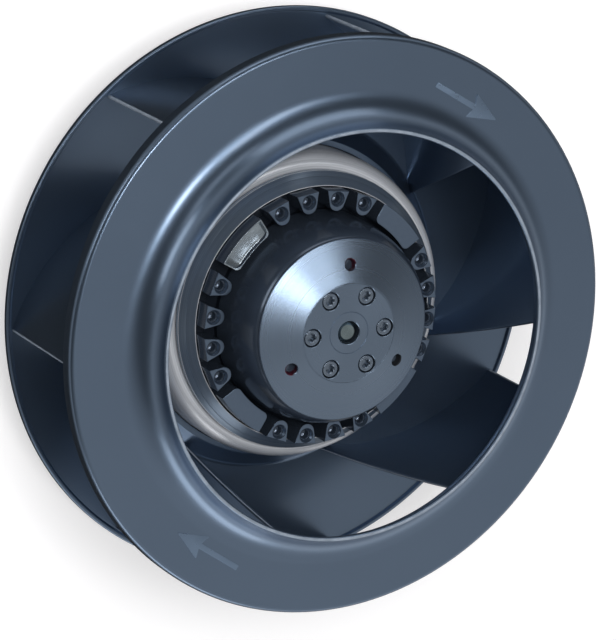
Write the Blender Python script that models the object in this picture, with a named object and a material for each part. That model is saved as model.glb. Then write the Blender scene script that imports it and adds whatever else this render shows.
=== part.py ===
"""Centrifugal fan: a 250 mm impeller with backward-curved blades on an external-rotor motor.

The fan axis is +Z and points out of the inlet. The origin is the centre of the stator flange's
rear face, which fastens the fan to its support. Sizes are in metres.
"""

import math

import bmesh
import bpy
from mathutils import Matrix, Vector

MM = 0.001
FULL_TURN = 2 * math.pi

# Clearances
SEAT = 0.3 * MM                  # between pieces that seat on each other
AIR_GAP = 1.0 * MM               # between rotor and stator

# Facets of the round pieces
LARGE_SEGMENTS = 48
ROTOR_SEGMENTS = 40
FLANGE_SEGMENTS = 28
SMALL_SEGMENTS = 16
PIN_SEGMENTS = 12
HOLE_SEGMENTS = 8
CURVE_STEPS = 4

# Rotor core and end ring
ROTOR_RADIUS = 67.5 * MM
ROTOR_WALL = 14 * MM
ROTOR_CORE_HEIGHT = 31 * MM
ROTOR_SHOULDER_WIDTH = 5 * MM
ROTOR_SHOULDER_HEIGHT = 9 * MM
END_RING_DEPTH = 12 * MM         # behind the back plate
END_RING_CHAMFER = 2 * MM
END_RING_FLANGE_WIDTH = 9 * MM
END_RING_FLANGE_THICKNESS = 4 * MM

# Impeller
IMPELLER_RADIUS = 125 * MM
BACK_PLATE_Z = 24 * MM           # rear face of the back plate
BACK_PLATE_THICKNESS = 2 * MM
BACK_RIM_WIDTH = 2.2 * MM        # raised band round the back plate
BACK_RIM_RISE = 1.2 * MM
COLLAR_WALL = 2.7 * MM           # hub collar of the back plate, at its top
COLLAR_SPREAD = 7.5 * MM         # outward from its top to its foot
COLLAR_RISE = 10 * MM
CHANNEL_HEIGHT = 62.4 * MM       # back plate to shroud at the rim, between the two flat faces
SHROUD_WALL = 2 * MM
SHROUD_SKIRT = 7 * MM            # side wall of the shroud, measured along the axis
SHROUD_CORNER = 2.5 * MM
SHROUD_RING_WIDTH = 21.5 * MM    # flat ring, from the rim to the throat's curve
SHROUD_CONE_RISE = 0.6 * MM      # rise of the flat ring from the rim to the throat
THROAT_CURVE = 14.9 * MM         # outer radius of the curve between flat ring and inlet lip
LIP_HEIGHT = 13 * MM             # inlet lip above the flat ring

# Blades
BLADE_COUNT = 7
BLADE_THICKNESS = 1.6 * MM
BLADE_FIRST_ANGLE = math.radians(26.2)   # trailing edge of the first blade
BLADE_TIP_ANGLE = math.radians(22.2)     # between the blade and the rim
BLADE_HUB_ANGLE = math.radians(31.1)     # between the blade and the hub, at the leading edge
BLADE_HUB_GAP = 8.2 * MM         # from the collar's bore to the leading edge
BLADE_EYE_GAP = 4.6 * MM         # from the inlet to the leading edge, under the shroud
BLADE_STATIONS = 10
BLADE_ROWS = 2
BLADE_BUNCHING = 1.4             # above 1, the stations crowd towards the leading edge

# Bell over the front of the rotor
BELL_SETBACK = 1.5 * MM          # inside the rotor's shoulder
BELL_RIM_HEIGHT = 6.5 * MM
BELL_RIM_CHAMFER = 1.5 * MM
BELL_RIM_WIDTH = 6.5 * MM
BELL_LEDGE_RISE = 4 * MM         # rise of the rim's face towards the trough
BELL_TROUGH_WIDTH = 9 * MM
BELL_TROUGH_DEPTH = 4 * MM
BELL_FLANK_WIDTH = 6.1 * MM
BELL_DOME_HEIGHT = 30.2 * MM     # from the rim's inner edge to the flat centre of the face
BELL_CONE_DROP = 5.5 * MM
BELL_EDGE = 0.5 * MM
BELL_CENTRE_MARGIN = 0.7 * MM    # flat centre beyond the screws' counterbores
BELL_WALL = 4 * MM
BELL_FACE_WALL = 9 * MM

# Bosses round the bell
BOSS_HEIGHT = 10.2 * MM          # above the trough's floor
BOSS_OVERLAP = 0.5 * MM          # into the rim
BOSS_DEPTH = 8.6 * MM            # along the radius, nose included
BOSS_WIDTH = 10.2 * MM           # at the outer end
BOSS_TAPER = math.radians(16)    # of each side, towards the nose
BOSS_HOLE_INSET = 3.5 * MM       # from the outer end
BOSS_HOLE_RADIUS = 1.9 * MM
BOSS_HOLE_DEPTH = 5 * MM
BOSS_SINK_RADIUS = 3.1 * MM      # countersink round the hole
BOSS_SINK_DEPTH = 1.2 * MM
BOSS_SPACING = 13.5 * MM         # between the holes of two bosses
PAD_COUNT = 4
PAD_ANGLE = math.radians(44.2)   # first of the solid pads between the groups of bosses
PAD_SWEEP = math.radians(25.6)
PAD_LENGTH = 8.6 * MM            # along the radius
PAD_CORNER = 2.5 * MM            # radius of its inner corners

# Screws
SCREW_HEAD_RADIUS = 3.5 * MM
SCREW_HEAD_HEIGHT = 4 * MM
SCREW_HEAD_CHAMFER = 0.4 * MM
SCREW_THREAD_RADIUS = 2 * MM
SOCKET_RADIUS = 1.6 * MM
SOCKET_DEPTH = 2 * MM
FACE_SCREW_COUNT = 6
FACE_SCREW_CIRCLE = 17 * MM
FACE_SCREW_LENGTH = 10 * MM
COUNTERBORE_GAP = 0.5 * MM       # round a screw's head
COUNTERBORE_RECESS = 0.5 * MM    # over a screw's head
IMPELLER_SCREW_COUNT = 6
IMPELLER_SCREW_INSET = 4 * MM    # from the end ring's outer edge
IMPELLER_SCREW_LENGTH = 10 * MM

# Tapped holes in the bell's face
TAPPED_HOLE_COUNT = 3
TAPPED_HOLE_INSET = 10.6 * MM    # from the face's edge
TAPPED_HOLE_RADIUS = 2.5 * MM
TAPPED_HOLE_DEPTH = 5 * MM
TAPPED_HOLE_ANGLE = math.radians(86.4)

# Bearings, of the 10 x 26 x 8 mm size
BEARING_BORE = 5 * MM
BEARING_RADIUS = 13 * MM
BEARING_WIDTH = 8 * MM
BEARING_LAND = 2 * MM            # thickness of each ring at its shoulders
RACE_DEPTH = 0.7 * MM
RACE_CLEARANCE = 0.32 * MM
RACE_MOUTH = 0.9                 # half width of the groove at its shoulders, in ball radii
RACE_FLOOR = 0.45                # half width of the groove's floor, in ball radii
BALL_COUNT = 7
CAGE_WIDTH = 1.4 * MM
CAGE_HEIGHT = 2.4 * MM
REAR_BEARING_Z = 10 * MM
FRONT_BEARING_DEPTH = 39.7 * MM  # its rear face, below the bell's face

# Shaft and hub
SHAFT_TAIL = 5.4 * MM            # behind the rear bearing
SHAFT_SHOULDER = 1.2 * MM        # over the bearings' bore
SHAFT_FRONT_RADIUS = 4 * MM
SHAFT_RECESS = 1.4 * MM          # shaft end below the bell's face
SHAFT_CHAMFER = 0.8 * MM
FACE_BORE_GAP = 1 * MM
HUB_MARGIN = 5 * MM              # beyond the screw circle
HUB_THICKNESS = 8.7 * MM
HUB_NECK_WALL = 4.2 * MM
CLIP_HEIGHT = 2.8 * MM           # over the shaft
CLIP_THICKNESS = 1.2 * MM
CLIP_GROOVE_DEPTH = 0.7 * MM
CLIP_GAP = math.radians(50)

# Stator flange and tube
FLANGE_GAP = 3.5 * MM            # inside the rotor's bore
FLANGE_THICKNESS = 6 * MM
FLANGE_EDGE = 1 * MM
FLANGE_LAND = 22 * MM            # width of the mounting face
FLANGE_RECESS_DEPTH = 1.5 * MM
FLANGE_FLOOR = 2.5 * MM          # metal behind the shaft's end
POCKET_GAP = 1.5 * MM            # round the shaft's clip
TUBE_WALL = 3 * MM
TUBE_RIM = 1.9 * MM              # beyond the retaining ring's groove
TUBE_STOP = 1.3 * MM             # inner shoulder that locates the bearings
LABYRINTH_WIDTH = 3 * MM
LABYRINTH_OVERLAP = 3 * MM       # into the end ring
MOUNT_HOLE_COUNT = 4
MOUNT_HOLE_INSET = 12.5 * MM
MOUNT_HOLE_RADIUS = 2.1 * MM
GROMMET_INSET = 10.5 * MM
GROMMET_HOLE_RADIUS = 5.3 * MM
GROMMET_COLLAR_WIDTH = 1.5 * MM
GROMMET_COLLAR_HEIGHT = 1.6 * MM
GROMMET_WALL = 2 * MM

# Stator core and windings
STACK_OVERHANG = 2 * MM          # behind the rotor core
STACK_SETBACK = 7 * MM           # below the rotor core's front
STACK_BACK = 7.4 * MM            # solid ring inside the slots
SLOT_COUNT = 12
SLOT_WIDTH = 9 * MM
SLOT_MOUTH = 2.4 * MM
SLOT_LIP = 4 * MM
WINDING_LAP = 3 * MM             # over the solid ring
WINDING_GAP = 1 * MM             # inside the labyrinth

# Retaining ring and preload spring
RETAINER_THICKNESS = 1.2 * MM
RETAINER_BITE = 0.9 * MM
RETAINER_WIDTH = 3.7 * MM
RETAINER_SWEEP = math.radians(320)
SPRING_WIDTH = 3 * MM
SPRING_THICKNESS = 0.5 * MM
SPRING_WAVE = 0.35 * MM
SPRING_WAVES = 3

# Sizes that follow from those above, first along the axis
BACK_FRONT_Z = BACK_PLATE_Z + BACK_PLATE_THICKNESS
SHROUD_INNER_Z = BACK_FRONT_Z + CHANNEL_HEIGHT + SHROUD_CONE_RISE
SHROUD_FLAT_Z = SHROUD_INNER_Z + SHROUD_WALL
LIP_Z = SHROUD_FLAT_Z + LIP_HEIGHT
LIP_RADIUS = SHROUD_WALL / 2
LIP_BASE_Z = LIP_Z - LIP_RADIUS
THROAT_CENTRE_Z = SHROUD_FLAT_Z + THROAT_CURVE
ROTOR_FRONT_Z = BACK_PLATE_Z + ROTOR_CORE_HEIGHT
END_RING_Z = BACK_PLATE_Z - END_RING_DEPTH
END_RING_FRONT_Z = BACK_PLATE_Z - SEAT
BELL_Z = ROTOR_FRONT_Z + SEAT
BELL_RIM_Z = BELL_Z + BELL_RIM_HEIGHT
BELL_LEDGE_Z = BELL_RIM_Z + BELL_LEDGE_RISE
BELL_TROUGH_Z = BELL_LEDGE_Z - BELL_TROUGH_DEPTH
BELL_FACE_Z = BELL_LEDGE_Z + BELL_DOME_HEIGHT
BELL_INNER_Z = BELL_FACE_Z - BELL_FACE_WALL
BOSS_TOP_Z = BELL_TROUGH_Z + BOSS_HEIGHT
BOSS_FOOT_Z = BELL_TROUGH_Z - BELL_WALL / 2
COUNTERBORE_DEPTH = SCREW_HEAD_HEIGHT + COUNTERBORE_RECESS + SEAT
REAR_BEARING_TOP = REAR_BEARING_Z + BEARING_WIDTH
FRONT_BEARING_Z = BELL_FACE_Z - FRONT_BEARING_DEPTH
FRONT_BEARING_TOP = FRONT_BEARING_Z + BEARING_WIDTH
SHAFT_REAR_Z = REAR_BEARING_Z - SHAFT_TAIL
SHAFT_END_Z = BELL_FACE_Z - SHAFT_RECESS
CLIP_Z = REAR_BEARING_Z - SEAT - CLIP_THICKNESS
SPRING_SEAT_Z = REAR_BEARING_Z - SEAT - SPRING_THICKNESS - 2 * SPRING_WAVE - SEAT
POCKET_Z = FLANGE_RECESS_DEPTH + FLANGE_FLOOR
RETAINER_GROOVE_TOP = FRONT_BEARING_TOP + RETAINER_THICKNESS + 2 * SEAT
TUBE_TOP_Z = RETAINER_GROOVE_TOP + TUBE_RIM
LABYRINTH_TOP_Z = END_RING_Z + LABYRINTH_OVERLAP
STACK_Z = BACK_PLATE_Z - STACK_OVERHANG
STACK_TOP_Z = ROTOR_FRONT_Z - STACK_SETBACK
WINDING_HEIGHT = BELL_TROUGH_Z - BELL_WALL - AIR_GAP - STACK_TOP_Z - SEAT

# Radii that follow
THROAT_START_RADIUS = IMPELLER_RADIUS - SHROUD_RING_WIDTH
ROTOR_BORE = ROTOR_RADIUS - ROTOR_WALL
COLLAR_BORE = ROTOR_RADIUS + SEAT
COLLAR_FOOT_RADIUS = COLLAR_BORE + COLLAR_WALL + COLLAR_SPREAD
BLADE_TIP_RADIUS = IMPELLER_RADIUS - SHROUD_WALL - BLADE_THICKNESS / 2 - 2 * SEAT
BLADE_HUB_RADIUS = COLLAR_BORE + BLADE_HUB_GAP
IMPELLER_SCREW_CIRCLE = ROTOR_RADIUS + END_RING_FLANGE_WIDTH - IMPELLER_SCREW_INSET
BELL_RIM_RADIUS = ROTOR_RADIUS - ROTOR_SHOULDER_WIDTH - BELL_SETBACK
BELL_TROUGH_OUTER = BELL_RIM_RADIUS - BELL_RIM_WIDTH
BELL_TROUGH_INNER = BELL_TROUGH_OUTER - BELL_TROUGH_WIDTH
BELL_FACE_RADIUS = BELL_TROUGH_INNER - BELL_FLANK_WIDTH
BOSS_OUTER_RADIUS = BELL_TROUGH_OUTER + BOSS_OVERLAP
BOSS_HOLE_CIRCLE = BOSS_OUTER_RADIUS - BOSS_HOLE_INSET
BOSS_PITCH = 2 * math.asin(BOSS_SPACING / (2 * BOSS_HOLE_CIRCLE))
BOSS_GROUP = int((FULL_TURN / PAD_COUNT - PAD_SWEEP) / BOSS_PITCH)
COUNTERBORE_RADIUS = SCREW_HEAD_RADIUS + COUNTERBORE_GAP
BELL_CENTRE_RADIUS = FACE_SCREW_CIRCLE + COUNTERBORE_RADIUS + BELL_CENTRE_MARGIN
TAPPED_HOLE_CIRCLE = BELL_FACE_RADIUS - TAPPED_HOLE_INSET
INNER_LAND_RADIUS = BEARING_BORE + BEARING_LAND
OUTER_LAND_RADIUS = BEARING_RADIUS - BEARING_LAND
BALL_RADIUS = (OUTER_LAND_RADIUS - INNER_LAND_RADIUS) / 2 + RACE_DEPTH - RACE_CLEARANCE
SHAFT_JOURNAL_RADIUS = BEARING_BORE - SEAT
CLIP_RADIUS = SHAFT_JOURNAL_RADIUS + CLIP_HEIGHT
HUB_BORE = SHAFT_FRONT_RADIUS + SEAT
TUBE_BORE = BEARING_RADIUS + SEAT
TUBE_RADIUS = TUBE_BORE + TUBE_WALL
FLANGE_RADIUS = ROTOR_BORE - FLANGE_GAP
LABYRINTH_RADIUS = FLANGE_RADIUS - LABYRINTH_WIDTH
MOUNT_HOLE_CIRCLE = FLANGE_RADIUS - MOUNT_HOLE_INSET
GROMMET_CIRCLE = FLANGE_RADIUS - GROMMET_INSET
GROMMET_COLLAR_RADIUS = GROMMET_HOLE_RADIUS - SEAT + GROMMET_COLLAR_WIDTH
STACK_RADIUS = ROTOR_BORE - AIR_GAP
STACK_BORE = TUBE_RADIUS + SEAT
SLOT_INNER_RADIUS = STACK_BORE + STACK_BACK
SLOT_OUTER_RADIUS = STACK_RADIUS - SLOT_LIP
WINDING_INNER = SLOT_INNER_RADIUS - WINDING_LAP
WINDING_OUTER = LABYRINTH_RADIUS - WINDING_GAP


def clear_scene():
    for thing in list(bpy.data.objects):
        bpy.data.objects.remove(thing, do_unlink=True)


def material(name, colour, roughness, metallic):
    made = bpy.data.materials.new(name)
    made.use_nodes = True
    shader = made.node_tree.nodes["Principled BSDF"]
    shader.inputs["Base Color"].default_value = (*colour, 1.0)
    shader.inputs["Roughness"].default_value = roughness
    shader.inputs["Metallic"].default_value = metallic
    made.diffuse_color = (*colour, 1.0)
    return made


def lathe(profile, segments=LARGE_SEGMENTS, at=(0.0, 0.0)):
    """A closed solid of revolution about the vertical line through `at`, from (radius, height) corners."""
    bm = bmesh.new()
    corners = [bm.verts.new((radius, 0.0, height)) for radius, height in profile]
    edges = [bm.edges.new(pair) for pair in zip(corners, corners[1:])]
    if profile[0][0] > 0 or profile[-1][0] > 0:
        edges.append(bm.edges.new((corners[-1], corners[0])))
    bmesh.ops.spin(
        bm, geom=corners + edges, cent=(0, 0, 0), axis=(0, 0, 1),
        angle=FULL_TURN, steps=segments, use_merge=True,
    )
    bmesh.ops.remove_doubles(bm, verts=bm.verts, dist=1e-6)
    bmesh.ops.translate(bm, verts=bm.verts, vec=(at[0], at[1], 0))
    return bm


def prism(outline, bottom, top):
    """An upright prism over a closed outline of (x, y) corners."""
    bm = bmesh.new()
    face = bm.faces.new([bm.verts.new((x, y, bottom)) for x, y in outline])
    raised = bmesh.ops.extrude_face_region(bm, geom=[face])["geom"]
    lifted = [item for item in raised if isinstance(item, bmesh.types.BMVert)]
    bmesh.ops.translate(bm, verts=lifted, vec=(0, 0, top - bottom))
    return bm


def cylinder(radius, bottom, top, at=(0.0, 0.0), segments=HOLE_SEGMENTS):
    return lathe([(0, bottom), (radius, bottom), (radius, top), (0, top)], segments, at)


def turned(bm, angle):
    bmesh.ops.rotate(bm, verts=bm.verts, cent=(0, 0, 0), matrix=Matrix.Rotation(angle, 3, "Z"))
    return bm


def merged(solids):
    """One bmesh with all the given solids in it, and the given ones freed."""
    whole = bmesh.new()
    for solid in solids:
        carrier = bpy.data.meshes.new("carrier")
        solid.to_mesh(carrier)
        solid.free()
        whole.from_mesh(carrier)
        bpy.data.meshes.remove(carrier)
    return whole


def place(name, bm, finish, parent=None, smooth_below=math.radians(35)):
    """Turns the bmesh into a named object, smooth except at edges sharper than the given angle."""
    bmesh.ops.recalc_face_normals(bm, faces=bm.faces)
    mesh = bpy.data.meshes.new(name)
    bm.to_mesh(mesh)
    bm.free()
    mesh.shade_smooth()
    mesh.set_sharp_from_angle(angle=smooth_below)
    thing = bpy.data.objects.new(name, mesh)
    bpy.context.scene.collection.objects.link(thing)
    if finish:
        mesh.materials.append(finish)
    thing.parent = parent
    return thing


def combine(target, operation, name, solids):
    """Joins the given solids to the target, or cuts them from it. They must not overlap each other."""
    tool = place(f"{target.name}_{name}", merged(solids), None)
    tool.hide_render = True
    tool.display_type = "WIRE"
    tool.parent = target.parent
    step = target.modifiers.new(name, "BOOLEAN")
    step.operation = operation
    step.solver = "EXACT"
    step.object = tool
    tool.hide_set(True)


def empty(name):
    thing = bpy.data.objects.new(name, None)
    thing.empty_display_size = 0.02
    bpy.context.scene.collection.objects.link(thing)
    return thing


def on_circle(radius, angle):
    return (radius * math.cos(angle), radius * math.sin(angle))


def arc(centre, radius, start, end, steps):
    """Points along an arc, both ends included."""
    angles = [start + (end - start) * i / steps for i in range(steps + 1)]
    return [(centre[0] + radius * math.cos(a), centre[1] + radius * math.sin(a)) for a in angles]


def spaced(count, first=0.0):
    return [first + FULL_TURN * i / count for i in range(count)]


def throat_angle(height, radius):
    """Angle on a curve round the throat's centre at which it reaches the given height."""
    return math.pi + math.asin((THROAT_CENTRE_Z - height) / radius)


def inlet_radius():
    """Radius of the opening at the base of the inlet lip."""
    curve = THROAT_CURVE + SHROUD_WALL
    return THROAT_START_RADIUS + curve * math.cos(throat_angle(LIP_BASE_Z, curve))


def front_shroud(finish, parent):
    throat_centre = (THROAT_START_RADIUS, THROAT_CENTRE_Z)
    rim_z = SHROUD_FLAT_Z - SHROUD_CONE_RISE
    skirt_z = rim_z - SHROUD_SKIRT
    corner_centre = (IMPELLER_RADIUS - SHROUD_CORNER, rim_z - SHROUD_CORNER)
    inner_curve = THROAT_CURVE + SHROUD_WALL
    outer_end = throat_angle(LIP_BASE_Z, THROAT_CURVE)
    inner_end = throat_angle(LIP_BASE_Z, inner_curve)
    outer = arc(throat_centre, THROAT_CURVE, 1.5 * math.pi, outer_end, CURVE_STEPS)
    inner = arc(throat_centre, inner_curve, inner_end, 1.5 * math.pi, CURVE_STEPS)
    lip_centre = ((outer[-1][0] + inner[0][0]) / 2, LIP_BASE_Z)
    lip = arc(lip_centre, LIP_RADIUS, math.radians(45), math.radians(135), 2)
    wall = IMPELLER_RADIUS - SHROUD_WALL
    profile = (
        [(IMPELLER_RADIUS, skirt_z)]
        + arc(corner_centre, SHROUD_CORNER, 0, math.pi / 2, 2)
        + outer + lip + inner
        + [(wall, rim_z - SHROUD_WALL), (wall, skirt_z)]
    )
    place("front_shroud", lathe(profile), finish, parent)


def channel_top(radius):
    """Height that a blade reaches under the shroud at this radius, its clearance taken off."""
    if radius < THROAT_START_RADIUS:
        curve = THROAT_CURVE + SHROUD_WALL + SEAT
        return THROAT_CENTRE_Z - math.sqrt(curve ** 2 - (THROAT_START_RADIUS - radius) ** 2)
    share = (radius - THROAT_START_RADIUS) / (IMPELLER_RADIUS - THROAT_START_RADIUS)
    return SHROUD_INNER_Z - SHROUD_CONE_RISE * share - SEAT


def channel_floor(radius):
    """Height at which a blade starts over the back plate and its sloping hub collar."""
    slope = COLLAR_RISE / COLLAR_SPREAD
    rise = slope * (COLLAR_FOOT_RADIUS - radius)
    if rise <= 0:
        return BACK_FRONT_Z + SEAT
    return BACK_FRONT_Z + rise + SEAT * math.hypot(1, slope)


def back_plate(finish, parent):
    rim_top = BACK_FRONT_Z + BACK_RIM_RISE
    rim_inner = IMPELLER_RADIUS - BACK_RIM_WIDTH
    collar_top = BACK_FRONT_Z + COLLAR_RISE
    profile = [
        (COLLAR_BORE, BACK_PLATE_Z),
        (IMPELLER_RADIUS - BACK_RIM_RISE / 2, BACK_PLATE_Z),
        (IMPELLER_RADIUS, BACK_PLATE_Z + BACK_RIM_RISE / 2),
        (IMPELLER_RADIUS, rim_top - BACK_RIM_RISE / 2),
        (IMPELLER_RADIUS - BACK_RIM_RISE / 2, rim_top),
        (rim_inner + BACK_RIM_RISE, rim_top),
        (rim_inner, BACK_FRONT_Z),
        (COLLAR_FOOT_RADIUS, BACK_FRONT_Z),
        (COLLAR_BORE + COLLAR_WALL, collar_top),
        (COLLAR_BORE, collar_top),
    ]
    plate = place("back_plate", lathe(profile), finish, parent)
    hole_end = BACK_PLATE_Z - END_RING_FLANGE_THICKNESS + IMPELLER_SCREW_LENGTH
    holes = [
        cylinder(SCREW_THREAD_RADIUS, BACK_PLATE_Z - SEAT, hole_end, on_circle(IMPELLER_SCREW_CIRCLE, a))
        for a in spaced(IMPELLER_SCREW_COUNT)
    ]
    combine(plate, "DIFFERENCE", "screw_holes", holes)


def blade_arc():
    """Radius of the arc that the blade follows in plan, and the distance of its centre from the fan axis."""
    tip_run = BLADE_TIP_RADIUS * math.cos(BLADE_TIP_ANGLE)
    hub_run = BLADE_HUB_RADIUS * math.cos(BLADE_HUB_ANGLE)
    radius = (BLADE_TIP_RADIUS ** 2 - BLADE_HUB_RADIUS ** 2) / (2 * (tip_run - hub_run))
    return radius, math.sqrt(radius ** 2 + BLADE_TIP_RADIUS ** 2 - 2 * radius * tip_run)


def from_arc_centre(radius):
    """Angle at the fan axis between the centre of the blade's arc and a point of the arc."""
    arc_radius, distance = blade_arc()
    cosine = radius ** 2 + distance ** 2 - arc_radius ** 2
    return math.acos(cosine / (2 * radius * distance))


def blade_side(radius, side):
    """Point in plan on one side, -1 or 1, of a blade whose trailing edge is on +X."""
    centre_angle = from_arc_centre(BLADE_TIP_RADIUS)
    centre = Vector(on_circle(blade_arc()[1], centre_angle))
    middle = Vector(on_circle(radius, centre_angle - from_arc_centre(radius)))
    return middle + (middle - centre).normalized() * side * BLADE_THICKNESS / 2


def blade_corner(share, row, side):
    """Point of the blade's surface. `share` runs from leading to trailing edge, `row` from hub to shroud."""
    eye_radius = inlet_radius() + BLADE_EYE_GAP
    near = BLADE_HUB_RADIUS + (BLADE_TIP_RADIUS - BLADE_HUB_RADIUS) * share
    far = eye_radius + (BLADE_TIP_RADIUS - eye_radius) * share
    foot = channel_floor(blade_side(near, side).length)
    head = channel_top(blade_side(far, side).length)
    spot = blade_side(near + (far - near) * row, side)
    return (spot.x, spot.y, foot + (head - foot) * row)


def blade_mesh():
    """A plate of even thickness, lofted between the back plate and the shroud's curved underside."""
    rows = [j / BLADE_ROWS for j in range(BLADE_ROWS + 1)]
    bm = bmesh.new()
    loops = []
    for i in range(BLADE_STATIONS + 1):
        share = (i / BLADE_STATIONS) ** BLADE_BUNCHING
        ring = [blade_corner(share, row, -1) for row in rows]
        ring += [blade_corner(share, row, 1) for row in reversed(rows)]
        loops.append([bm.verts.new(point) for point in ring])
    for near, far in zip(loops, loops[1:]):
        for k in range(len(near)):
            following = (k + 1) % len(near)
            bm.faces.new((near[k], near[following], far[following], far[k]))
    for end in (loops[0], loops[-1]):
        last = len(end) - 1
        for j in range(BLADE_ROWS):
            bm.faces.new((end[j], end[j + 1], end[last - j - 1], end[last - j]))
    return bm


def blades(finish, parent):
    for i, angle in enumerate(spaced(BLADE_COUNT, BLADE_FIRST_ANGLE)):
        place(f"blade_{i + 1}", turned(blade_mesh(), angle), finish, parent)


def rotor_core(finish, parent):
    """The steel ring that holds the magnets, with a rounded front shoulder."""
    foot = ROTOR_FRONT_Z - ROTOR_SHOULDER_HEIGHT
    inner = ROTOR_RADIUS - ROTOR_SHOULDER_WIDTH
    angles = [math.pi / 2 * i / CURVE_STEPS for i in range(CURVE_STEPS + 1)]
    shoulder = [
        (inner + ROTOR_SHOULDER_WIDTH * math.cos(a), foot + ROTOR_SHOULDER_HEIGHT * math.sin(a))
        for a in angles
    ]
    rear = [(ROTOR_BORE, BACK_PLATE_Z), (ROTOR_RADIUS, BACK_PLATE_Z)]
    profile = rear + shoulder + [(ROTOR_BORE, ROTOR_FRONT_Z)]
    place("rotor_core", lathe(profile, ROTOR_SEGMENTS), finish, parent)


def rotor_end_ring(finish, parent):
    top = END_RING_FRONT_Z
    flange_z = top - END_RING_FLANGE_THICKNESS
    flange_radius = ROTOR_RADIUS + END_RING_FLANGE_WIDTH
    profile = [
        (ROTOR_BORE, END_RING_Z),
        (ROTOR_RADIUS - END_RING_CHAMFER, END_RING_Z),
        (ROTOR_RADIUS, END_RING_Z + END_RING_CHAMFER),
        (ROTOR_RADIUS, flange_z),
        (flange_radius, flange_z),
        (flange_radius, top),
        (ROTOR_BORE, top),
    ]
    screw_hole = SCREW_THREAD_RADIUS + SEAT
    ring = place("rotor_end_ring", lathe(profile, ROTOR_SEGMENTS), finish, parent)
    holes = [
        cylinder(screw_hole, flange_z - SEAT, top + SEAT, on_circle(IMPELLER_SCREW_CIRCLE, a))
        for a in spaced(IMPELLER_SCREW_COUNT)
    ]
    combine(ring, "DIFFERENCE", "screw_holes", holes)


def sector(inner, outer, sweep, steps):
    """Outline of part of a ring, centred on +X."""
    angles = [sweep * (i / steps - 0.5) for i in range(steps + 1)]
    near = [on_circle(inner, a) for a in angles]
    far = [on_circle(outer, a) for a in reversed(angles)]
    return near + far


def boss():
    """A screw boss on +X, square against the rim. Its sides taper to a round nose that they touch."""
    half = BOSS_WIDTH / 2
    fall = math.sin(BOSS_TAPER)
    nose = (half * math.cos(BOSS_TAPER) - BOSS_DEPTH * fall) / (1 - fall)
    middle = (BOSS_OUTER_RADIUS - BOSS_DEPTH + nose, 0)
    outline = [(BOSS_OUTER_RADIUS, -half), (BOSS_OUTER_RADIUS, half)]
    outline += arc(middle, nose, math.pi / 2 + BOSS_TAPER, 1.5 * math.pi - BOSS_TAPER, CURVE_STEPS)
    return prism(outline, BOSS_FOOT_Z, BOSS_TOP_Z)


def boss_hole(angle):
    """A cutter for the blind, countersunk hole of the boss at this angle."""
    floor = BOSS_TOP_Z - BOSS_HOLE_DEPTH
    over = BOSS_TOP_Z + SEAT
    profile = [
        (0, floor), (BOSS_HOLE_RADIUS, floor), (BOSS_HOLE_RADIUS, BOSS_TOP_Z - BOSS_SINK_DEPTH),
        (BOSS_SINK_RADIUS, BOSS_TOP_Z), (BOSS_SINK_RADIUS, over), (0, over),
    ]
    return lathe(profile, PIN_SEGMENTS, on_circle(BOSS_HOLE_CIRCLE, angle))


def pad():
    """A solid pad on +X: part of a ring, with its two inner corners rounded."""
    half = PAD_SWEEP / 2
    inner = BOSS_OUTER_RADIUS - PAD_LENGTH
    corner_angle = half - math.asin(PAD_CORNER / (inner + PAD_CORNER))
    corner_centre = on_circle(inner + PAD_CORNER, corner_angle)
    corner = arc(corner_centre, PAD_CORNER, half + math.pi / 2, corner_angle + math.pi, 2)
    shares = [2 * i / CURVE_STEPS - 1 for i in range(CURVE_STEPS + 1)]
    outline = [on_circle(BOSS_OUTER_RADIUS, half * share) for share in shares] + corner
    outline += [on_circle(inner, -corner_angle * share) for share in shares[1:-1]]
    outline += [(x, -y) for x, y in reversed(corner)]
    return prism(outline, BOSS_FOOT_Z, BOSS_TOP_Z)


def boss_angles():
    """Angles of the solid pads, and of the bosses in a group between each two."""
    pads = spaced(PAD_COUNT, PAD_ANGLE)
    middles = [pad + math.pi / PAD_COUNT for pad in pads]
    steps = [i - (BOSS_GROUP - 1) / 2 for i in range(BOSS_GROUP)]
    return pads, [middle + step * BOSS_PITCH for middle in middles for step in steps]


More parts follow.
